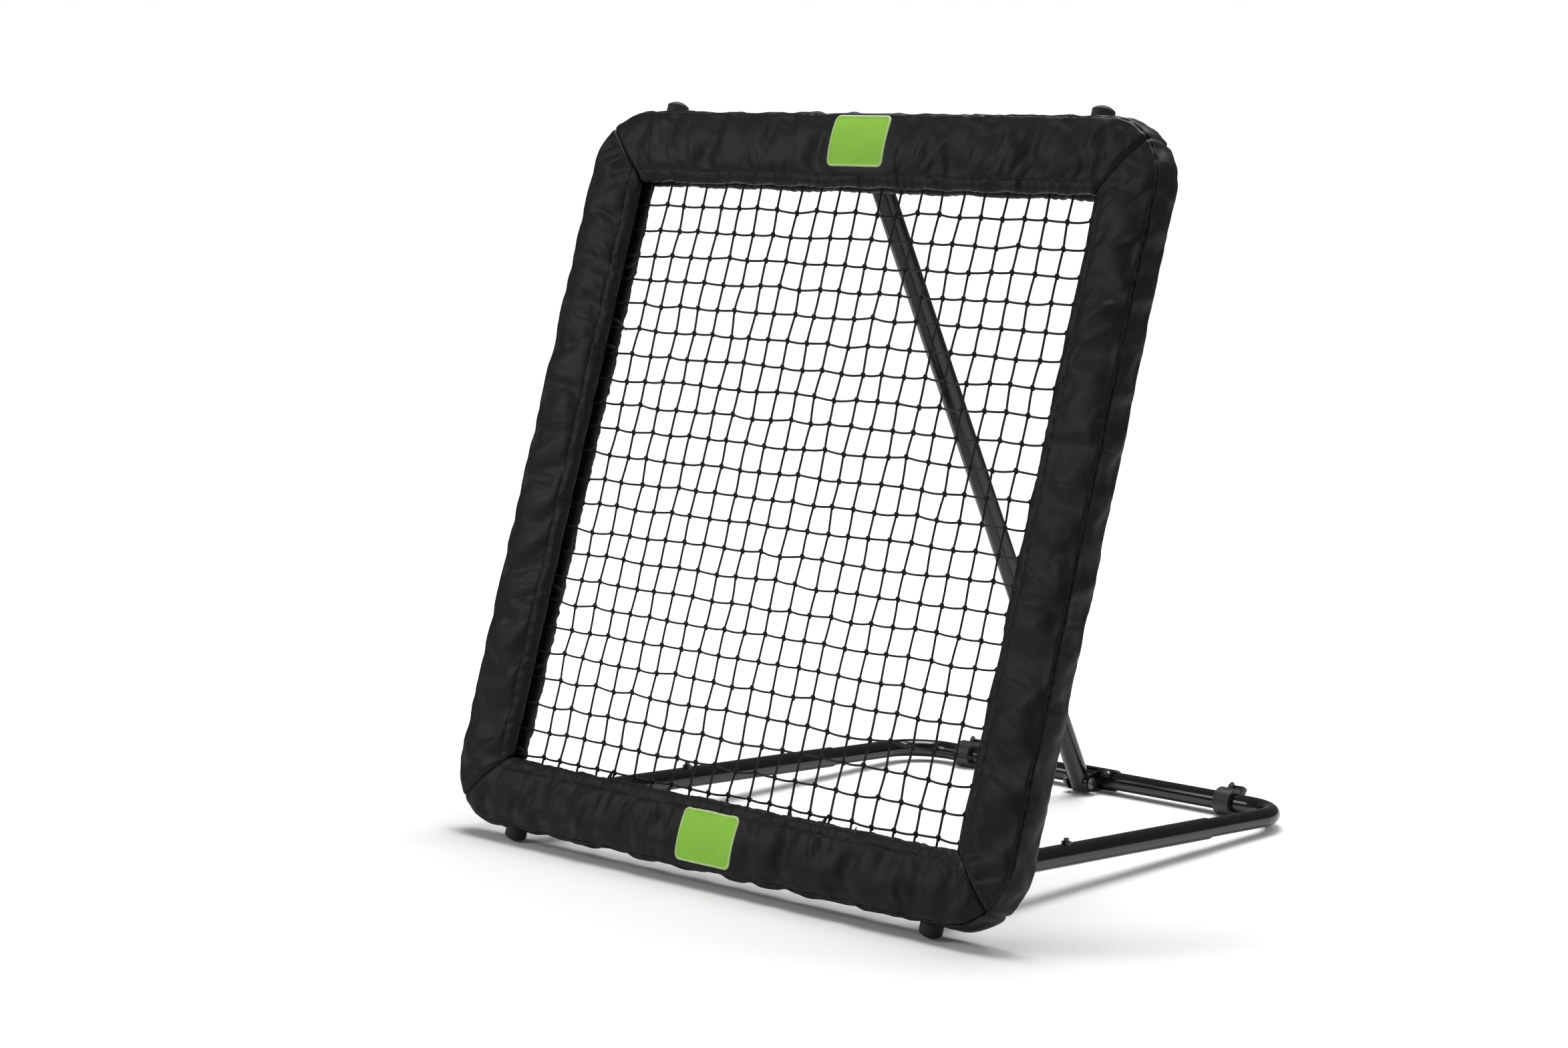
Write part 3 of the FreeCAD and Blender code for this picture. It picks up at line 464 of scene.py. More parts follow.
class Outline:
    """Outline of a pad across its run, from the slit in front round to the slit behind.

    Points are (depth from the outer edge, height in front of the net), in millimetres."""

    SLIT_DEPTH = 15.0
    SLIT_HALF = 3.6
    MOUTH_DEPTH = 3.0
    MOUTH_HALF = 5.0
    LIP = 15.5
    LIP_DEPTH = 3.5
    LIP_RISE = 0.2
    CROWN = 22.0
    SEAM = 19.5
    CORNER = 4.0
    CORNER_CUT = 1.2
    BULGE = 1.5
    SIDE_BULGE = 0.35
    FINE = 0.25
    NORMAL_REACH = 0.8

    def __init__(self, width):
        self.width = width
        fine = self.FINE
        mouth = (width - self.MOUTH_DEPTH, self.MOUTH_HALF)
        inner_edge = (width, (self.MOUTH_HALF + self.LIP) / 2)
        lip = (width - self.LIP_DEPTH, self.LIP + self.LIP_RISE)
        crown = (TUBE_INSET, self.CROWN)
        front = (self.BULGE + self.CORNER, self.SEAM)
        bevel = (self.BULGE + self.CORNER_CUT, self.SEAM - self.CORNER_CUT)
        side = (self.BULGE, self.SEAM - self.CORNER)
        half = [
            line_samples((width - self.SLIT_DEPTH, self.SLIT_HALF), mouth, fine),
            arc_samples(mouth, inner_edge, lip, fine),
            arc_samples(lip, crown, front, fine),
            arc_samples(front, bevel, side, fine),
            arc_samples(side, (self.SIDE_BULGE, (self.SEAM - self.CORNER) / 2), (0.0, 0.0), fine),
        ]
        front_half = np.concatenate([half[0]] + [piece[1:] for piece in half[1:]])
        back_half = front_half[::-1][1:] * (1, -1)
        self.points = np.concatenate([front_half, back_half])
        steps = np.linalg.norm(np.diff(self.points, axis=0), axis=1)
        self.along = np.concatenate([[0.0], np.cumsum(steps)])
        self.length = self.along[-1]
        self.seam = self.nearest(bevel)
        self.hem_edge = self.nearest(inner_edge)

    def nearest(self, point):
        return self.along[np.argmin(np.linalg.norm(self.points - point, axis=1))]

    def crossing(self, depth):
        """Place along the outline where its front face is this deep."""
        front = (self.along < self.seam) & (self.along > self.hem_edge)
        return self.along[front][np.argmin(abs(self.points[front, 0] - depth))]

    def at(self, along):
        depth = np.interp(along, self.along, self.points[:, 0])
        height = np.interp(along, self.along, self.points[:, 1])
        return depth, height

    def normal(self, along):
        """Outward direction in the outline's plane."""
        depth_a, height_a = self.at(np.clip(along - self.NORMAL_REACH, 0, self.length))
        depth_b, height_b = self.at(np.clip(along + self.NORMAL_REACH, 0, self.length))
        size = np.hypot(depth_b - depth_a, height_b - height_a)
        return (height_b - height_a) / size, (depth_a - depth_b) / size


def merged(base, extra, least):
    """Sorted places with those of base left out that come too near one of extra."""
    kept = [value for value in base if min(abs(value - other) for other in extra) > least]
    return np.array(sorted(kept + list(extra)))


def smooth(value, low, high):
    """Rises smoothly from 0 at low to 1 at high."""
    share = np.clip((value - low) / (high - low), 0, 1)
    return share * share * (3 - 2 * share)


def bell(gap, width):
    """Bell curve of a distance, 1 in its middle."""
    return np.exp(-(gap / width) ** 2)


class Waves:
    """Smooth repeatable noise of one or two variables, as a sum of a few random waves."""

    def __init__(self, seed, count, shortest, longest):
        pick = random.Random(seed)
        self.terms = []
        for _ in range(count):
            length = shortest * (longest / shortest) ** pick.random()
            angle = pick.uniform(-math.pi, math.pi)
            step_x = math.tau * math.cos(angle) / length
            step_y = math.tau * math.sin(angle) / length
            self.terms.append((step_x, step_y, pick.uniform(0, math.tau)))
        self.scale = 1 / math.sqrt(count / 2)

    def __call__(self, x, y=0.0):
        total = 0.0
        for step_x, step_y, phase in self.terms:
            total = total + np.sin(step_x * x + step_y * y + phase)
        return total * self.scale


def spline_taps(value, size):
    """Neighbours of fractional places on a row of the given size, and their smooth weights."""
    base = np.clip(np.floor(value).astype(int), 0, size - 2)
    part = value - base
    rest = 1 - part
    weights = [
        rest ** 3 / 6,
        (3 * part ** 3 - 6 * part ** 2 + 4) / 6,
        (3 * rest ** 3 - 6 * rest ** 2 + 4) / 6,
        part ** 3 / 6,
    ]
    places = [np.clip(base + step, 0, size - 1) for step in (-1, 0, 1, 2)]
    return list(zip(places, weights))


def sampled(field, x, y):
    """Smooth values of a grid of vectors at fractional places x and y."""
    total = 0.0
    for i, weight_x in spline_taps(x, field.shape[0]):
        for j, weight_y in spline_taps(y, field.shape[1]):
            total = total + field[i, j] * (weight_x * weight_y)[..., None]
    return total


class Pad:
    """One side of the cover as a grid of cloth, with its seams, folds and puckers."""

    # Pads that lie before and after each pad, in the order of its drawn run
    BESIDE = {
        "bottom": ("left", "right"),
        "top": ("right", "left"),
        "left": ("top", "bottom"),
        "right": ("bottom", "top"),
    }
    FOLD_COUNT = 12
    SHOWN_REACH = 30.0
    # How firmly the simulation holds the cloth at its hem and its seams
    HEM_HOLD = 0.8
    SEAM_HOLD = 0.75
    # The cloth is held fully this near to a mitre, and in the slit up to this far from its inner edge
    END_GAP = 0.1
    LIP_GAP = 4.0
    # How uneven the cloth starts, in millimetres
    UNEVEN = 0.5
    # Shares of the fold depth that each kind of relief takes
    BROAD_SHARE = 0.1925
    FOLD_SHARE = 0.62
    GATHER_SHARE = 0.7
    # Share by which the depth of a stitched seam varies
    TUCK_SHARE = 0.35
    # Share of its depth that a mitre loses past the seam
    MITRE_FADE = 0.8
    # Heights, widths and places of the relief at the seams, in millimetres
    GUSSET_RISE = 0.75
    INNER_RISE = 0.38
    SEAM_WIDTH = 1.25
    RIDGE_RISE = 0.55
    RIDGE_WIDTH = 1.7
    RIDGE_GAP = 3.6
    STITCH_DEPTH = 0.9
    STITCH_WIDTH = 1.1
    MITRE_WIDTH = 1.5
    PLUMP_RISE = 0.5
    PLUMP_WIDTH = 4.0
    PLUMP_GAP = 5.5
    # Distances over which the relief fades, in millimetres
    HEM_FADE = 14.0
    SEAM_FADE = 16.0
    GUSSET_FADE = 9.0
    INNER_FADE = 6.0
    END_FADE = 14.0
    GATHER_REACH = 22.0
    # Least distance between two columns, as a share of the step, and between two rows, in millimetres
    COLUMN_GAP = 0.3
    ROW_GAP = 0.7
    # Calm place under a badge: half its length, where the relief is back, and the share of it that goes
    CALM_HALF = 44.0
    CALM_END = 66.0
    CALM_SHARE = 0.8
    # Distances from a mitre and from a stitch line where the grid is finer
    END_COLUMNS = (0.0, 0.8, 1.7, 3.0, 5.0)
    SEAM_ROWS = (-2.2, -1.1, 0.0, 1.1, 2.2)

    def __init__(self, side, settings, step):
        self.side = side
        self.settings = settings
        self.step = step
        self.width = PAD_WIDTHS[side]
        self.outline = Outline(self.width)
        span = COVER_WIDTH if side in ("bottom", "top") else COVER_HIGH - COVER_LOW
        self.run = span - 2 * CORNER_RADIUS
        self.half = self.run / 2 + CORNER_RADIUS * math.pi / 4
        self.draw_in = [
            (PAD_WIDTHS[name] - CORNER_RADIUS) / (self.width - CORNER_RADIUS) for name in self.BESIDE[side]
        ]
        seed = sorted(PAD_WIDTHS).index(side)
        self.broad = Waves(seed + 11, 12, 45.0, 170.0)
        self.cross = Waves(seed + 31, 9, 18.0, 60.0)
        self.fine = Waves(seed + 51, 9, 7.0, 16.0)
        self.gather = Waves(seed + 91, 6, 8.0, 17.0)
        pick = random.Random(seed + 71)
        self.folds = [self.fold(pick) for _ in range(self.FOLD_COUNT)]
        for place, lean, width, depth in SHOWN_FOLDS[side]:
            self.folds.append({
                "x": place, "lean": lean, "width": width, "depth": depth,
                "centre": 0.5 * self.width, "reach": self.SHOWN_REACH,
            })
        self.moves = None

    def settle(self):
        """Lets the cloth settle round its filling on a coarser grid, and keeps its moves."""
        settings = self.settings
        outline = self.outline
        columns = 2 * round(self.half / settings.coarse) + 1
        rows = round(outline.length / settings.coarse) + 1
        share, along = np.meshgrid(
            np.linspace(-1, 1, columns), np.linspace(0, outline.length, rows), indexing="ij",
        )
        point, out, run, to_end = self.places(share, along)
        uneven = self.UNEVEN * self.broad(run, along) * smooth(to_end, 0.0, 20.0)
        thing = grid_mesh("settling", (point + out * uneven[..., None]) * MM)
        pins = thing.vertex_groups.new(name="pinned")
        hem = outline.crossing(self.width - settings.hem)
        near = np.minimum(along, outline.length - along)
        fixed = (to_end < self.END_GAP) | (near < outline.hem_edge - self.LIP_GAP)
        firm = np.where(fixed, 1.0, 0.0)
        for line, hold in ((hem, self.HEM_HOLD), (outline.seam, self.SEAM_HOLD)):
            firm = np.maximum(firm, np.where(abs(near - line) < settings.coarse / 2, hold, 0.0))
        for index, weight in enumerate(firm.ravel()):
            if weight > 0:
                pins.add([index], float(weight), "REPLACE")
        modifier = thing.modifiers.new("settling", "CLOTH")
        cloth = modifier.settings
        cloth.quality = 5
        cloth.mass = 0.15
        cloth.tension_stiffness = 18.0
        cloth.compression_stiffness = 18.0
        cloth.shear_stiffness = 6.0
        cloth.bending_stiffness = 0.08
        cloth.shrink_min = -settings.ease
        cloth.use_pressure = True
        cloth.uniform_pressure_force = settings.pressure
        cloth.vertex_group_mass = pins.name
        cloth.effector_weights.gravity = 0.0
        modifier.collision_settings.use_collision = False
        modifier.point_cache.frame_start = 1
        modifier.point_cache.frame_end = settings.frames
        scene = bpy.context.scene
        for frame_number in range(1, settings.frames + 1):
            scene.frame_set(frame_number)
        settled = thing.evaluated_get(bpy.context.evaluated_depsgraph_get())
        places = np.empty(columns * rows * 3)
        settled.data.vertices.foreach_get("co", places)
        remove(thing)
        scene.frame_set(1)
        moves = places.reshape(columns, rows, 3) / MM - point
        size = np.maximum(np.linalg.norm(moves, axis=-1, keepdims=True), 1e-6)
        moves *= settings.reach * np.tanh(size / settings.reach) / size
        moves[fixed] = 0.0
        self.moves = moves

    def settled(self, share, along):
        """Move of the cloth at each place."""
        if self.moves is None:
            return 0.0
        columns, rows = self.moves.shape[:2]
        share, along = np.broadcast_arrays(share, along)
        return sampled(self.moves, (share + 1) / 2 * (columns - 1), along / self.outline.length * (rows - 1))

    def fold(self, pick):
        """A soft fold: where it starts, how it leans, its width, depth and reach."""
        end = pick.choice((-1, 1))
        near = pick.random() < 0.7
        if near:
            place = end * (self.run / 2 + 20 - pick.uniform(0, 110))
        else:
            place = pick.uniform(-0.35, 0.35) * self.run
        return {
            "x": place,
            "lean": pick.uniform(-0.35, 0.35) + (-0.25 * end if near else 0.0),
            "width": pick.uniform(3.0, 6.5) if near else pick.uniform(5.0, 10.0),
            "depth": pick.uniform(0.35, 1.0),
            "centre": pick.uniform(15.0, 70.0),
            "reach": pick.uniform(14.0, 34.0),
        }

    def places(self, share, along):
        """Points of the plain pad, with their outward directions, run places and distances to the mitre."""
        depth, height = self.outline.at(along)
        normal_depth, normal_height = self.outline.normal(along)
        corner = np.maximum(CORNER_RADIUS - depth, 0.0)
        over = np.maximum(depth - CORNER_RADIUS, 0.0)
        straight = self.run / 2
        draw = np.where(share < 0, self.draw_in[0], self.draw_in[1])
        half = straight + corner * math.pi / 4 - over * draw
        far = abs(share) * half
        side = np.sign(share)
        turned = np.where(corner > 1e-6, (far - straight) / np.maximum(corner, 1e-6), 0.0)
        angle = np.clip(np.where(far > straight, turned, 0.0), 0.0, math.pi / 4)
        bent = far > straight
        x = np.where(bent & (corner > 0), straight + corner * np.sin(angle), far) * side
        y = np.where(bent & (corner > 0), CORNER_RADIUS - corner * np.cos(angle), depth)
        w = np.broadcast_to(height, x.shape)
        out_x = np.where(bent, -np.sin(angle) * normal_depth, 0.0) * side
        out_y = np.where(bent, np.cos(angle), 1.0) * normal_depth
        out_w = np.broadcast_to(normal_height, x.shape)
        point = np.stack([x, y, w], axis=-1)
        out = np.stack([out_x, out_y, out_w], axis=-1)
        return point, out, far * side, half - far

    def relief(self, run, to_end, along):
        """Height of the folds, puckers and seams over the plain outline, in millimetres."""
        outline = self.outline
        fold_depth = self.settings.fold
        hem = outline.crossing(self.width - self.settings.hem)
        near = np.minimum(along, outline.length - along)
        depth, height = outline.at(along)
        face = smooth(near, hem, hem + self.HEM_FADE) * smooth(outline.seam - near, 2.0, self.SEAM_FADE)
        gusset = smooth(near, outline.seam + 1.0, outline.seam + self.GUSSET_FADE)
        inner = smooth(near, outline.hem_edge - self.INNER_FADE, outline.hem_edge)
        inner = inner * smooth(hem - near, 0.0, 3.0)
        rise = self.BROAD_SHARE * fold_depth * self.broad(run, along * 1.4) * face
        for fold in self.folds:
            width = fold["width"]
            line = run - fold["x"] - fold["lean"] * (depth - fold["centre"])
            ridge = 0.45 * bell(line, width) + 0.75 * np.exp(-abs(line) / width * 1.3)
            across = ridge - 0.6 * bell(line - 1.7 * width, width)
            reach = bell(depth - fold["centre"], fold["reach"])
            front = (height > 0) if fold["depth"] > 0.5 else (height < 12)
            rise = rise + self.FOLD_SHARE * fold_depth * fold["depth"] * across * reach * face * front
        strength = np.where(run < 0, GATHERS[self.side][0], GATHERS[self.side][1])
        gathers = 1 - 2 * abs(self.gather((depth + 0.8 * to_end) * 0.62))
        gathers = gathers * np.exp(-to_end / self.GATHER_REACH) * smooth(to_end, 0.3, 4.0)
        rise = rise + self.GATHER_SHARE * fold_depth * strength * gathers * face
        rise = rise + self.GUSSET_RISE * self.cross(run, along * 0.25) * gusset
        rise = rise + self.INNER_RISE * self.fine(run, along * 0.2) * inner
        rise = rise * smooth(to_end, 1.0, self.END_FADE)
        seam = bell(near - outline.seam, self.SEAM_WIDTH) * self.settings.seam_depth
        ridge = bell(near - outline.seam + self.RIDGE_GAP, self.RIDGE_WIDTH) * self.RIDGE_RISE
        stitch = bell(near - hem, self.STITCH_WIDTH) * self.STITCH_DEPTH
        tucks = 1 + self.TUCK_SHARE * self.fine(run)
        mitre = bell(to_end, self.MITRE_WIDTH) * self.settings.seam_depth * (1 - self.MITRE_FADE * gusset)
        plump = bell(to_end - self.PLUMP_GAP, self.PLUMP_WIDTH) * self.PLUMP_RISE * (1 - gusset)
        shown = smooth(near, outline.hem_edge - 8.0, outline.hem_edge)
        return rise - (seam + stitch) * tucks + ridge - (mitre - plump) * shown

    def axes(self):
        """Places of the grid's columns, as shares of the half run, and of its rows along the outline."""
        outline = self.outline
        count = round(self.half / self.step)
        regular = [index / count for index in range(count)]
        near_end = [1 - gap / self.half for gap in self.END_COLUMNS]
        positive = merged(regular, near_end, self.COLUMN_GAP * self.step / self.half)
        columns = np.concatenate([-positive[positive > 0][::-1], positive])
        rows = round(outline.length / self.step)
        regular = [outline.length * index / rows for index in range(rows + 1)]
        hem = outline.crossing(self.width - self.settings.hem)
        lines = []
        for centre in (hem, outline.seam, outline.length - outline.seam, outline.length - hem):
            lines += [centre + gap for gap in self.SEAM_ROWS]
        return columns, merged(regular, lines + [0.0, outline.length], self.ROW_GAP)

    def turned(self, local):
        """Points drawn along the x axis, put on the side of the frame that this pad covers."""
        x, y, w = local[..., 0], local[..., 1], local[..., 2]
        half = COVER_WIDTH / 2
        middle = (COVER_LOW + COVER_HIGH) / 2
        u, v = {
            "bottom": (x, COVER_LOW + y),
            "top": (-x, COVER_HIGH - y),
            "right": (half - y, middle + x),
            "left": (y - half, middle - x),
        }[self.side]
        return np.stack([u, v, w], axis=-1)

    def surface(self, share, along, lift=0.0):
        """Finished points of the cover in u, v, w, with lift millimetres above the cloth."""
        point, out, run, to_end = self.places(share, along)
        kept = self.quiet(share, along)
        rise = self.relief(run, to_end, along) * kept + lift
        loose = (kept * smooth(to_end, 0.0, 6.0))[..., None]
        return self.turned(point + out * rise[..., None] + self.settled(share, along) * loose)

    def foot_cutter(self, x):
        """Round hole for a foot, drawn at x along the run."""
        angles = np.arange(FOOT_HOLE_SIDES) * math.tau / FOOT_HOLE_SIDES
        across = x + FOOT_HOLE_RADIUS * np.cos(angles)
        ring = np.stack([across, 0 * angles, FOOT_HOLE_RADIUS * np.sin(angles)], axis=1)
        rings = [to_world(self.turned(ring + (0.0, depth, 0.0))) for depth in (-CUT_PAST, FOOT_HOLE_DEPTH)]
        return cutter("foot_hole", rings)

    def notch_cutter(self, x, near, far, front=-1.0):
        """Notch in the back for an arm or the strut, from one depth to another."""
        sides = ((-NOTCH_HALF, near), (NOTCH_HALF, near), (NOTCH_HALF, far), (-NOTCH_HALF, far))
        rings = [
            to_world(self.turned(np.array([(x + across, depth, w) for across, depth in sides])))
            for w in (-2 * Outline.CROWN, front)
        ]
        return cutter("notch", rings)

    def cutters(self):
        """Openings of this pad: holes for its feet and notches for the arms or the strut."""
        near = TUBE_INSET - NOTCH_HALF
        if self.side == "bottom":
            notches = [self.notch_cutter(x, near, TUBE_INSET + ARM_NOTCH_RISE) for x in (-ARM_U, ARM_U)]
        elif self.side == "top":
            middle = self.width - STRUT_NOTCH_STEP
            notches = [
                self.notch_cutter(0.0, near, middle),
                self.notch_cutter(0.0, middle - 1.0, self.width + TUBE_INSET, front=STRUT_NOTCH_FRONT),
            ]
        else:
            return []
        return [self.foot_cutter(x) for x in (-FOOT_U, FOOT_U)] + notches

    def quiet(self, share, along):
        """Share of the relief that stays: the cloth lies flatter where a badge is sewn on."""
        if self.side not in ("top", "bottom"):
            return np.ones(np.broadcast(share, along).shape)
        depth, height = self.outline.at(along)
        across = 1 - smooth(abs(share) * self.half, self.CALM_HALF, self.CALM_END)
        front = smooth(height, 12.0, 16.0) * smooth(self.width - depth, 14.0, 20.0)
        return 1 - self.CALM_SHARE * across * front


def placed(name, mesh):
    """Object of a finished mesh, in the scene."""
    mesh.update()
    thing = bpy.data.objects.new(name, mesh)
    bpy.context.scene.collection.objects.link(thing)
    return thing


def remove(thing):
    """Takes an object and its mesh out of the file."""
    mesh = thing.data
    bpy.data.objects.remove(thing)
    bpy.data.meshes.remove(mesh)


def face_outwards(mesh):
    """Turns all faces of a closed mesh outwards."""
    build = bmesh.new()
    build.from_mesh(mesh)
    bmesh.ops.recalc_face_normals(build, faces=build.faces)
    build.to_mesh(mesh)
    build.free()


def smooth_faces(mesh):
    mesh.polygons.foreach_set("use_smooth", [True] * len(mesh.polygons))


def lay_uv(mesh, places):
    """Gives each vertex its place on the cloth as its UV, in metres."""
    layer = mesh.uv_layers.new(name="UVMap")
    loops = np.empty(len(mesh.loops), np.int64)
    mesh.loops.foreach_get("vertex_index", loops)
    layer.data.foreach_set("uv", places.reshape(-1, 2)[loops].ravel())


def grid_mesh(name, points, uv=None, close=False):
    """Mesh object from a grid of world points, closed round its second axis if asked."""
    columns, rows = points.shape[:2]
    mesh = bpy.data.meshes.new(name)
    faces = []
    for i in range(columns - 1):
        for j in range(rows if close else rows - 1):
            k = (j + 1) % rows
            faces.append((i * rows + j, i * rows + k, (i + 1) * rows + k, (i + 1) * rows + j))
    mesh.from_pydata(points.reshape(-1, 3).tolist(), [], faces)
    if uv is not None:
        lay_uv(mesh, uv)
    smooth_faces(mesh)
    return placed(name, mesh)


def close_ends(thing, columns, rows):
    """Closes the two open ends of a pad's grid with fans of faces."""
    mesh = thing.data
    build = bmesh.new()
    build.from_mesh(mesh)
    build.verts.ensure_lookup_table()
    for first in (0, (columns - 1) * rows):
        ring = [build.verts[first + j] for j in range(rows)]
        build.faces.new(ring if first else ring[::-1])
    bmesh.ops.recalc_face_normals(build, faces=build.faces)
    build.to_mesh(mesh)
    build.free()
    mesh.update()


def cutter(name, rings):
    """Closed solid between two rings of world points."""
    low, high = rings
    count = len(low)
    faces = [tuple(range(count)), tuple(range(2 * count - 1, count - 1, -1))]
    for index in range(count):
        beside = (index + 1) % count
        faces.append((index, index + count, beside + count, beside))
    mesh = bpy.data.meshes.new(name)
    mesh.from_pydata(np.concatenate([low, high]).tolist(), [], faces)
    face_outwards(mesh)
    return placed(name, mesh)


def cut_away(thing, cutters):
    """Cuts solids out of a piece and removes them."""
    for solid in cutters:
        modifier = thing.modifiers.new("opening", "BOOLEAN")
        modifier.operation = "DIFFERENCE"
        modifier.solver = "EXACT"
        modifier.object = solid
    settled = thing.evaluated_get(bpy.context.evaluated_depsgraph_get())
    thing.data = bpy.data.meshes.new_from_object(settled)
    thing.modifiers.clear()
    thing.data.set_sharp_from_angle(angle=SHARP_ANGLE)
    for solid in cutters:
        remove(solid)


def finish_piece(thing, body, slot, *materials):
    """Gives a piece its materials and its body."""
    for surface in materials:
        thing.data.materials.append(surface)
    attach(thing, body)


def dress(node, surface):
    """Gives a node of the frame one material."""
    node.data.materials.clear()
    node.data.materials.append(surface)


def tube_along(points, radius, sides, closed=False):
    """Vertices and faces of a tube round a polyline of world points."""
    points = np.asarray(points, float)
    count = len(points)
    ahead = np.roll(points, -1, axis=0) - points
    if not closed:
        ahead[-1] = ahead[-2]
    behind = np.roll(ahead, 1, axis=0)
    if not closed:
        behind[0] = ahead[0]
    tangent = ahead + behind
    tangent /= np.linalg.norm(tangent, axis=1)[:, None]
    hint = np.array([0.0, 0.0, 1.0]) if abs(tangent[0][2]) < 0.9 else np.array([1.0, 0.0, 0.0])
    side = np.cross(tangent[0], hint)
    vertices = []
    for index in range(count):
        side = side - tangent[index] * np.dot(side, tangent[index])
        side /= np.linalg.norm(side)
        up = np.cross(tangent[index], side)
        for step in range(sides):
            angle = math.tau * step / sides
            vertices.append(points[index] + radius * (math.cos(angle) * side + math.sin(angle) * up))
    faces = []
    for index in range(count if closed else count - 1):
        here = index * sides
        ahead = (index + 1) % count * sides
        for step in range(sides):
            beside = (step + 1) % sides
            faces.append((here + step, here + beside, ahead + beside, ahead + step))
    if not closed:
        faces.append(tuple(range(sides))[::-1])
        faces.append(tuple((count - 1) * sides + step for step in range(sides)))
    return vertices, faces


class MeshPile:
    """Collects many small pieces into one mesh."""

    def __init__(self):
        self.vertices = []
        self.faces = []

    def add(self, vertices, faces):
        start = len(self.vertices)
        self.vertices.extend(tuple(vertex) for vertex in vertices)
        self.faces.extend(tuple(start + index for index in face) for face in faces)

    def object(self, name):
        mesh = bpy.data.meshes.new(name)
        mesh.from_pydata(self.vertices, [], self.faces)
        smooth_faces(mesh)
        return placed(name, mesh)


MATERIALS = {}


def material(maker, settings):
    """Material made once and then shared."""
    if maker.__name__ not in MATERIALS:
        MATERIALS[maker.__name__] = maker(settings)
    return MATERIALS[maker.__name__]


def rebounder():
    return bpy.context.scene.rebounder


PADS = {}


def sewn_pad(side):
    """Pad of one side, settled once and then shared with its badge."""
    if side not in PADS:
        settings = rebounder().cover
        PADS[side] = Pad(side, settings, settings.grid)
        PADS[side].settle()
    return PADS[side]


# Operators


class REBOUNDER_OT_cover(bpy.types.Operator):
    """Sews the four pads of the cover round the frame"""

    bl_idname = "rebounder.cover"
    bl_label = "Cover pads"

    def execute(self, context):
        settings = rebounder().cover
        cloth = material(coated_cloth, settings)
        for side in PAD_WIDTHS:
            pad = sewn_pad(side)
            columns, rows = pad.axes()
            share, along = np.meshgrid(columns, rows, indexing="ij")
            points = to_world(pad.surface(share, along))
            uv = np.stack([share * pad.half * MM, along * MM], axis=-1)
            thing = grid_mesh("cover_" + side, points, uv, close=True)
            close_ends(thing, len(columns), len(rows))
            openings = pad.cutters()
            if openings:
                cut_away(thing, openings)
            finish_piece(thing, "net_frame", "cover_cloth", cloth)
            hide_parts("pad_" + side)
        return {"FINISHED"}


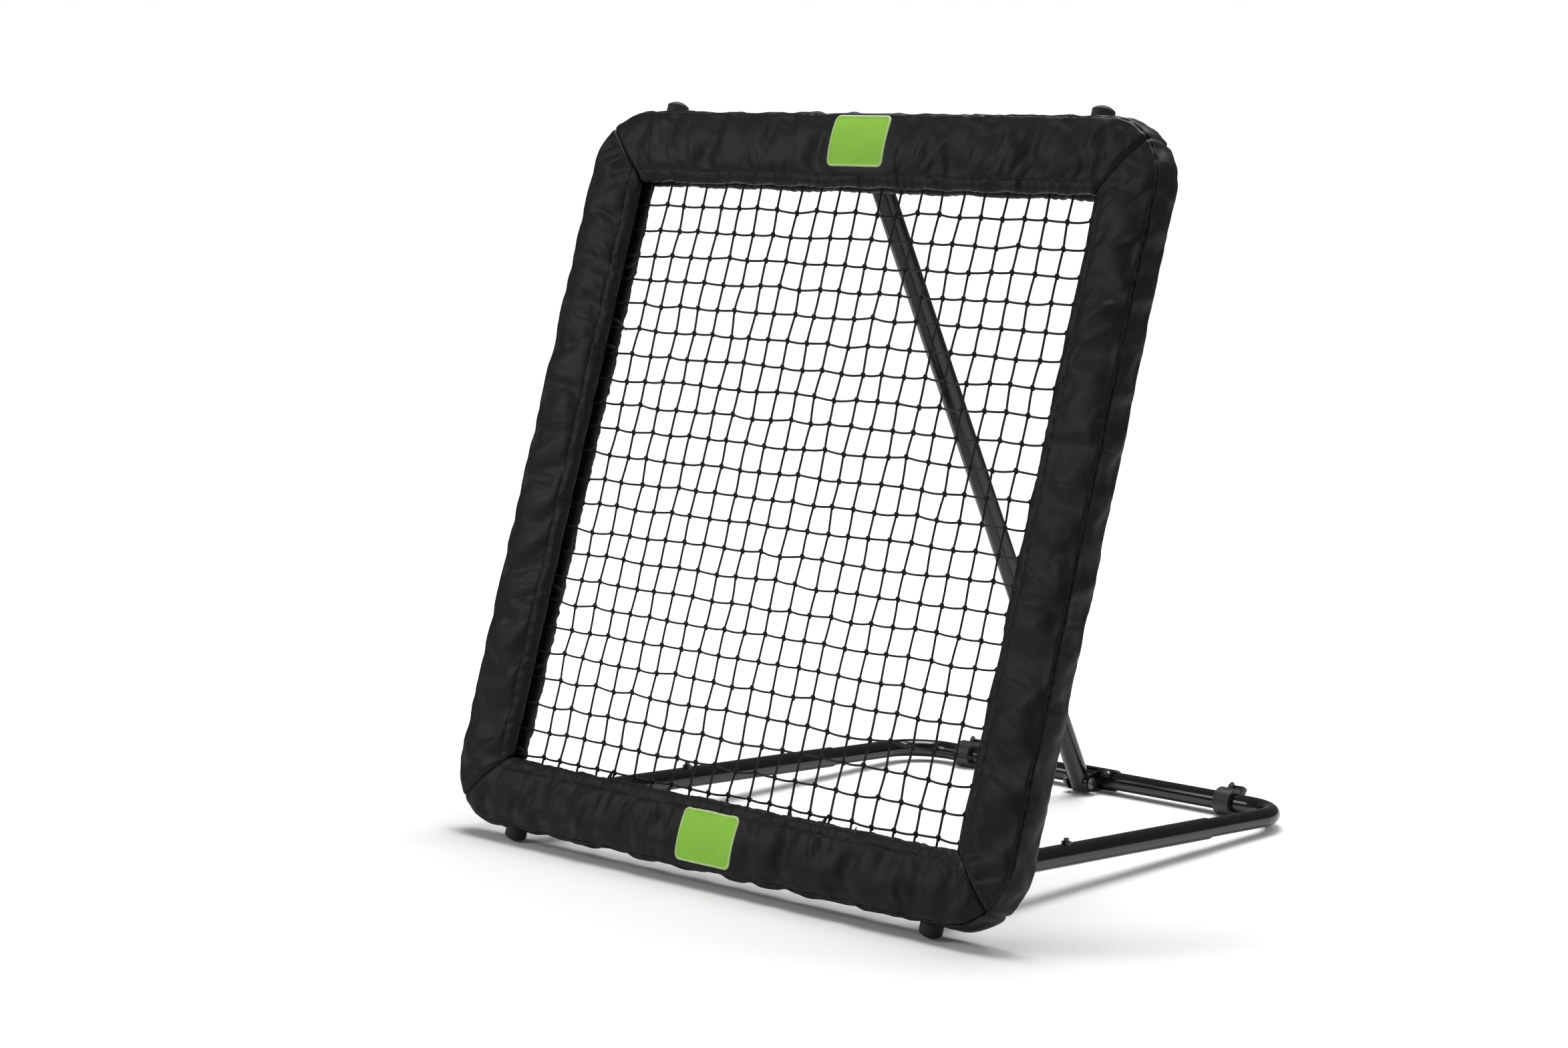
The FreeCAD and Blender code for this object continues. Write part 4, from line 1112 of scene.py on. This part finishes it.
class REBOUNDER_OT_net(bpy.types.Operator):
    """Knots the net from single cords"""

    bl_idname = "rebounder.net"
    bl_label = "Knotted net"

    HALF_COLUMNS = 11
    LAST_ROW = 22
    FIRST_ROW_V = 100.0
    # How much of the slack a knot strays across and up, and how far it strays out, in millimetres
    STRAY_ACROSS = 0.55
    STRAY_UP = 0.6
    STRAY_OUT = 0.25
    STRAND_POINTS = 6
    STRAND_SIDES = 8
    # Turns of cord in a knot: tilt in radians, half length and rise in millimetres
    KNOT_TURNS = ((0.9, 2.4, 0.4), (-0.8, 2.2, -0.4), (2.3, 2.0, 0.0))
    KNOT_FLATNESS = 0.62
    KNOT_OUT = 1.25
    KNOT_POINTS = 10
    KNOT_SIDES = 7

    def execute(self, context):
        settings = rebounder().net
        pick = random.Random(5)
        columns = range(-self.HALF_COLUMNS, self.HALF_COLUMNS + 1)
        rows = range(self.LAST_ROW + 1)
        knots = {}
        for column in columns:
            for row in rows:
                knots[column, row] = np.array([
                    settings.mesh * column + pick.gauss(0, self.STRAY_ACROSS) * settings.slack,
                    self.FIRST_ROW_V + settings.mesh * row + pick.gauss(0, self.STRAY_UP) * settings.slack,
                    pick.gauss(0, self.STRAY_OUT),
                ])
        pile = MeshPile()
        radius = settings.thickness / 2 * MM

        def strand(start, end, sag):
            """One length of cord from knot to knot, bowed a little."""
            share = np.linspace(0, 1, self.STRAND_POINTS)[:, None]
            points = start * (1 - share) + end * share
            points[:, 1] -= 4 * sag * (share * (1 - share))[:, 0]
            points[:, 0] += 0.5 * pick.uniform(-1, 1) * np.sin(share[:, 0] * math.pi)
            pile.add(*tube_along(to_world(points), radius, self.STRAND_SIDES))

        for column in columns:
            for row in rows[:-1]:
                strand(knots[column, row], knots[column, row + 1], 0.0)
            for row, edge in ((0, COVER_LOW + CORD_INSET), (self.LAST_ROW, COVER_HIGH - CORD_INSET)):
                knot = knots[column, row]
                strand(knot, np.array([knot[0] + pick.uniform(-2, 2), edge, 0.0]), 0.0)
        for row in rows:
            for column in columns[:-1]:
                strand(knots[column, row], knots[column + 1, row], pick.uniform(0.2, 1.5))
            for column in (columns[0], columns[-1]):
                knot = knots[column, row]
                edge = math.copysign(COVER_WIDTH / 2 - CORD_INSET, column)
                strand(knot, np.array([edge, knot[1] + pick.uniform(-3, 3), 0.0]), pick.uniform(0.0, 0.8))
        for knot in knots.values():
            self.knot(pile, knot, radius, pick)
        thing = pile.object("knotted_net")
        finish_piece(thing, "net_frame", "net_cord", material(twisted_cord, settings))
        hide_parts("net")
        return {"FINISHED"}

    def knot(self, pile, centre, radius, pick):
        """A small tight knot: one cord's loop wound round the other, with a bight over it."""
        turn = pick.uniform(-0.5, 0.5)
        for lean, size, rise in self.KNOT_TURNS:
            tilt = lean + turn
            ring = []
            for step in range(self.KNOT_POINTS):
                angle = math.tau * step / self.KNOT_POINTS
                x = size * math.cos(angle)
                y = self.KNOT_FLATNESS * size * math.sin(angle)
                ring.append((
                    x * math.cos(tilt) - y * math.sin(tilt),
                    x * math.sin(tilt) + y * math.cos(tilt) + rise,
                    self.KNOT_OUT * math.sin(angle + tilt),
                ))
            points = to_world(centre + np.array(ring))
            pile.add(*tube_along(points, radius * 0.95, self.KNOT_SIDES, closed=True))


class REBOUNDER_OT_straps(bpy.types.Operator):
    """Lays the ends of the tie straps that stand out of the slit beside the net"""

    bl_idname = "rebounder.straps"
    bl_label = "Strap ends"

    START = 72.0
    WIDTH = 5.0
    THICKNESS = 1.4
    STEPS = 8
    POINT_HALF = 0.15
    # Place along the side, length past the start, and sideways bend of each tail that shows
    TAILS = {
        "left": (
            (-338, 17, 3), (-241, 19, -5), (-145, 21, 4),
            (145, 19, 3), (176, 30, 12), (241, 22, -8), (338, 18, 6),
        ),
        "right": ((-338, 14, 2), (-145, 15, -3), (48, 14, 3), (241, 15, -4)),
        "bottom": ((-188, 17, 4), (94, 16, -4), (141, 17, 5)),
        "top": ((-282, 14, 2), (188, 15, 3)),
    }

    def execute(self, context):
        settings = rebounder().net
        fabric = material(webbing, settings)
        for side in PAD_WIDTHS:
            dress(frame["nodes"]["net_straps_" + side], fabric)
        pile = MeshPile()
        pick = random.Random(17)
        for side, tails in self.TAILS.items():
            pad = sewn_pad(side)
            turn = -1 if side == "left" else 1
            for place, length, bend in tails:
                self.tail(pile, pad, turn * place, length, bend, pick.uniform(-3.0, 3.0))
        thing = pile.object("strap_tails")
        finish_piece(thing, "net_frame", "strap_webbing", fabric)
        return {"FINISHED"}

    def tail(self, pile, pad, x, length, bend, drop):
        """Flat strap end that narrows to a point and bends aside."""
        vertices = []
        for index in range(self.STEPS + 1):
            share = index / self.STEPS
            half = self.WIDTH / 2 * (1 - share ** 2.5) + self.POINT_HALF
            middle = np.array([x + bend * share ** 2, self.START + length * share, drop * share ** 2])
            for across, height in ((-half, -1), (half, -1), (half, 1), (-half, 1)):
                corner = middle + (across, 0.0, height * self.THICKNESS / 2)
                vertices.append(to_world(pad.turned(corner)))
        faces = [(3, 2, 1, 0)]
        for first in range(0, 4 * self.STEPS, 4):
            for side in range(4):
                beside = (side + 1) % 4
                faces.append((first + side, first + beside, first + beside + 4, first + side + 4))
        faces.append(tuple(4 * self.STEPS + side for side in range(4)))
        pile.add(vertices, faces)


class REBOUNDER_OT_badges(bpy.types.Operator):
    """Sews a bare green badge on the top and the bottom pad"""

    bl_idname = "rebounder.badges"
    bl_label = "Badges"

    # Inset and height of each ring of the rim, in millimetres
    RIM = ((0.0, -0.6), (0.0, 0.55), (0.5, 1.0), (1.3, 1.15), (2.1, 1.0), (2.4, 0.8))
    FACE_LIFT = 0.8
    FACE_STEPS = 14
    COUNT = 120

    def execute(self, context):
        settings = rebounder().badges
        for side, inset in (("top", 5.5), ("bottom", 7.5)):
            self.badge(side, inset, settings)
        return {"FINISHED"}

    def badge(self, side, inset, settings):
        """Patch that lies on the cloth, this far in from the outside of its pad."""
        pad = sewn_pad(side)
        middle = pad.outline.crossing(inset) - settings.height / 2
        rings = []
        for inwards, lift in self.RIM:
            half_width = settings.width / 2 - inwards
            half_height = settings.height / 2 - inwards
            rings.append(self.ring(half_width, half_height, settings.corner - inwards, self.COUNT, lift))
        for index in range(1, self.FACE_STEPS):
            share = 1 - index / self.FACE_STEPS
            rings.append([(x * share, y * share, self.FACE_LIFT) for x, y, lift in rings[len(self.RIM) - 1]])
        flat = np.array(rings)
        along = middle + flat[..., 1]
        depth = pad.outline.at(along)[0]
        corner = np.maximum(CORNER_RADIUS - depth, 0.0)
        share = flat[..., 0] / (pad.run / 2 + corner * math.pi / 4)
        centre = pad.surface(np.array([[0.0]]), np.array([[middle]]), self.FACE_LIFT)
        vertices = to_world(pad.surface(share, along, flat[..., 2])).reshape(-1, 3).tolist()
        vertices.append(to_world(centre)[0, 0].tolist())
        faces = []
        for first in range(0, (len(rings) - 1) * self.COUNT, self.COUNT):
            for step in range(self.COUNT):
                beside = (step + 1) % self.COUNT
                inside = first + self.COUNT
                faces.append((first + step, first + beside, inside + beside, inside + step))
        last = (len(rings) - 1) * self.COUNT
        for step in range(self.COUNT):
            faces.append((last + step, last + (step + 1) % self.COUNT, last + self.COUNT))
        name = "badge_patch_" + side
        mesh = bpy.data.meshes.new(name)
        mesh.from_pydata(vertices, [], faces)
        lay_uv(mesh, np.concatenate([flat[..., :2].reshape(-1, 2), [[0.0, 0.0]]]) * MM)
        smooth_faces(mesh)
        rim_faces = (len(self.RIM) - 1) * self.COUNT
        mesh.polygons.foreach_set("material_index", [int(index < rim_faces) for index in range(len(faces))])
        face_outwards(mesh)
        thing = placed(name, mesh)
        surfaces = (material(badge_face, settings), material(badge_rim, settings))
        finish_piece(thing, "net_frame", "green_badge", *surfaces)
        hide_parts("badge_" + side)

    def ring(self, half_width, half_height, corner, count, lift):
        """Points of a rounded rectangle, evenly spaced, with their lift."""
        straight_x = 2 * (half_width - corner)
        straight_y = 2 * (half_height - corner)
        quarter = corner * math.pi / 2
        length = 2 * (straight_x + straight_y) + 4 * quarter
        points = []
        for step in range(count):
            left = length * step / count
            for side, straight in enumerate((straight_x, straight_y, straight_x, straight_y)):
                turn = side * math.pi / 2
                ahead = Vector((math.cos(turn), math.sin(turn)))
                aside = Vector((ahead.y, -ahead.x))
                reach = half_height if side % 2 == 0 else half_width
                if left <= straight:
                    place = aside * reach + ahead * (left - straight / 2)
                    break
                left -= straight
                if left <= quarter:
                    angle = left / corner
                    centre = aside * (reach - corner) + ahead * (straight / 2)
                    place = centre + (aside * math.cos(angle) + ahead * math.sin(angle)) * corner
                    break
                left -= quarter
            points.append((place.x, place.y, lift))
        return points


class REBOUNDER_OT_metal(bpy.types.Operator):
    """Gives the tubes, brackets, fasteners, rubber and plastic their finishes"""

    bl_idname = "rebounder.metal"
    bl_label = "Frame finishes"

    def execute(self, context):
        settings = rebounder().metal
        makers = {
            "black_steel": powder_coat,
            "zinc_steel": dark_zinc,
            "black_rubber": black_rubber,
            "black_plastic": moulded_plastic,
        }
        for part in frame["record"]["subparts"]:
            maker = makers.get(part["material_slot"])
            if maker is not None:
                dress(frame["nodes"][part["node"]], material(maker, settings))
        dress(frame["nodes"]["net_border_cord"], material(twisted_cord, rebounder().net))
        return {"FINISHED"}


class REBOUNDER_OT_stage(bpy.types.Operator):
    """Sets the floor, the lamps and the camera"""

    bl_idname = "rebounder.stage"
    bl_label = "Stage"

    # Place, size and setting of each lamp, in metres
    LAMPS = {
        "overhead": ((-0.3, 0.5, 3.0), (1.8, 1.8), "key"),
        "front": ((-1.9, -2.2, 1.7), (1.0, 1.4), "fill"),
        "side": ((2.9, -0.3, 1.9), (0.8, 1.2), "rim"),
        "strip": ((0.9, 1.5, 2.6), (1.8, 0.22), "strip"),
    }
    AIM = (0.0, 0.0, 0.4)
    FLOOR_HALF = 30.0
    FLOOR_COLOUR = (0.93, 0.93, 0.93, 1.0)
    # The floor keeps its shadow up to the first distance and is white to the camera from the second
    SHADOW_REACH = 0.5
    WHITE_REACH = 1.2

    def execute(self, context):
        settings = rebounder().stage
        scene = context.scene
        self.floor(settings)
        self.world(settings)
        for name, (place, size, power) in self.LAMPS.items():
            self.lamp(name, place, size, getattr(settings, power))
        data = bpy.data.cameras.new("camera")
        data.lens = settings.lens
        camera = bpy.data.objects.new("camera", data)
        scene.collection.objects.link(camera)
        camera.location = settings.camera
        look = Vector((
            -math.sin(settings.azimuth) * math.cos(settings.elevation),
            math.cos(settings.azimuth) * math.cos(settings.elevation),
            -math.sin(settings.elevation),
        ))
        camera.rotation_euler = look.to_track_quat("-Z", "Y").to_euler()
        scene.camera = camera
        scene.view_settings.view_transform = "Standard"
        return {"FINISHED"}

    def floor(self, settings):
        """Wide pale floor that keeps the shadow and is white to the camera elsewhere."""
        mesh = bpy.data.meshes.new("floor")
        half = self.FLOOR_HALF
        corners = [(-half, -half, 0), (half, -half, 0), (half, half, 0), (-half, half, 0)]
        mesh.from_pydata(corners, [], [(0, 1, 2, 3)])
        thing = placed("floor", mesh)
        graph = Graph("pale_floor")
        graph.shader.inputs["Base Color"].default_value = self.FLOOR_COLOUR
        graph.shader.inputs["Roughness"].default_value = 1.0
        graph.shader.inputs["Specular IOR Level"].default_value = 0.0
        glow = graph.add("ShaderNodeEmission")
        seen = graph.add("ShaderNodeLightPath").outputs["Is Camera Ray"]
        distance = graph.add("ShaderNodeVectorMath", operation="LENGTH")
        graph.join(graph.place(), distance.inputs[0])
        rising = graph.add("ShaderNodeMapRange", interpolation_type="SMOOTHSTEP")
        graph.join(distance.outputs["Value"], rising.inputs["Value"])
        rising.inputs["From Min"].default_value = self.SHADOW_REACH
        rising.inputs["From Max"].default_value = self.WHITE_REACH
        rising.inputs["To Min"].default_value = settings.glow
        rising.inputs["To Max"].default_value = 1.0
        graph.feed(glow.inputs["Strength"], graph.math("MULTIPLY", seen, rising.outputs["Result"]))
        both = graph.add("ShaderNodeAddShader")
        graph.join(graph.shader.outputs[0], both.inputs[0])
        graph.join(glow.outputs[0], both.inputs[1])
        graph.join(both.outputs[0], graph.out.inputs["Surface"])
        mesh.materials.append(graph.material)

    def world(self, settings):
        """White background for the camera, and a weaker even light for the rest."""
        world = bpy.data.worlds.new("studio")
        bpy.context.scene.world = world
        world.use_nodes = True
        tree = world.node_tree
        tree.nodes.clear()
        out = tree.nodes.new("ShaderNodeOutputWorld")
        path = tree.nodes.new("ShaderNodeLightPath")
        mix = tree.nodes.new("ShaderNodeMixShader")
        for index, strength in ((1, settings.world), (2, 1.0)):
            light = tree.nodes.new("ShaderNodeBackground")
            light.inputs["Color"].default_value = (1.0, 1.0, 1.0, 1.0)
            light.inputs["Strength"].default_value = strength
            tree.links.new(light.outputs[0], mix.inputs[index])
        tree.links.new(path.outputs["Is Camera Ray"], mix.inputs["Fac"])
        tree.links.new(mix.outputs[0], out.inputs["Surface"])

    def lamp(self, name, place, size, power):
        data = bpy.data.lights.new(name, "AREA")
        data.energy = power
        data.shape = "RECTANGLE"
        data.size, data.size_y = size
        lamp = bpy.data.objects.new(name, data)
        bpy.context.scene.collection.objects.link(lamp)
        lamp.location = place
        aim = Vector(self.AIM) - lamp.location
        lamp.rotation_euler = aim.to_track_quat("-Z", "Y").to_euler()


class RebounderSettings(bpy.types.PropertyGroup):
    cover: PointerProperty(type=CoverSettings, name="Cover", description="Cloth, seams and folds")
    net: PointerProperty(type=NetSettings, name="Net", description="Cord, mesh and straps")
    badges: PointerProperty(type=BadgeSettings, name="Badges", description="Size and colours of the badges")
    metal: PointerProperty(type=MetalSettings, name="Metal", description="Paint, zinc and rubber")
    stage: PointerProperty(type=StageSettings, name="Stage", description="Camera and lamps")


OPERATORS = (
    REBOUNDER_OT_cover,
    REBOUNDER_OT_net,
    REBOUNDER_OT_straps,
    REBOUNDER_OT_badges,
    REBOUNDER_OT_metal,
    REBOUNDER_OT_stage,
)


class REBOUNDER_PT_panel(bpy.types.Panel):
    """Lists the pieces of the rebounder"""

    bl_idname = "REBOUNDER_PT_panel"
    bl_label = "Rebounder"
    bl_space_type = "VIEW_3D"
    bl_region_type = "UI"
    bl_category = "Rebounder"

    def draw(self, context):
        for operator in OPERATORS:
            self.layout.operator(operator.bl_idname)
        for group in ("cover", "net", "badges", "metal", "stage"):
            settings = getattr(context.scene.rebounder, group)
            box = self.layout.box()
            box.label(text=group.capitalize())
            for name in settings.__annotations__:
                box.prop(settings, name)


CLASSES = (
    CoverSettings, NetSettings, BadgeSettings, MetalSettings, StageSettings, RebounderSettings,
    *OPERATORS, REBOUNDER_PT_panel,
)


def register():
    for kind in CLASSES:
        bpy.utils.register_class(kind)
    bpy.types.Scene.rebounder = PointerProperty(type=RebounderSettings)


def unregister():
    del bpy.types.Scene.rebounder
    for kind in reversed(CLASSES):
        bpy.utils.unregister_class(kind)


def main():
    register()
    for operator in OPERATORS:
        section, name = operator.bl_idname.split(".")
        getattr(getattr(bpy.ops, section), name)()


if __name__ == "__main__":
    main()
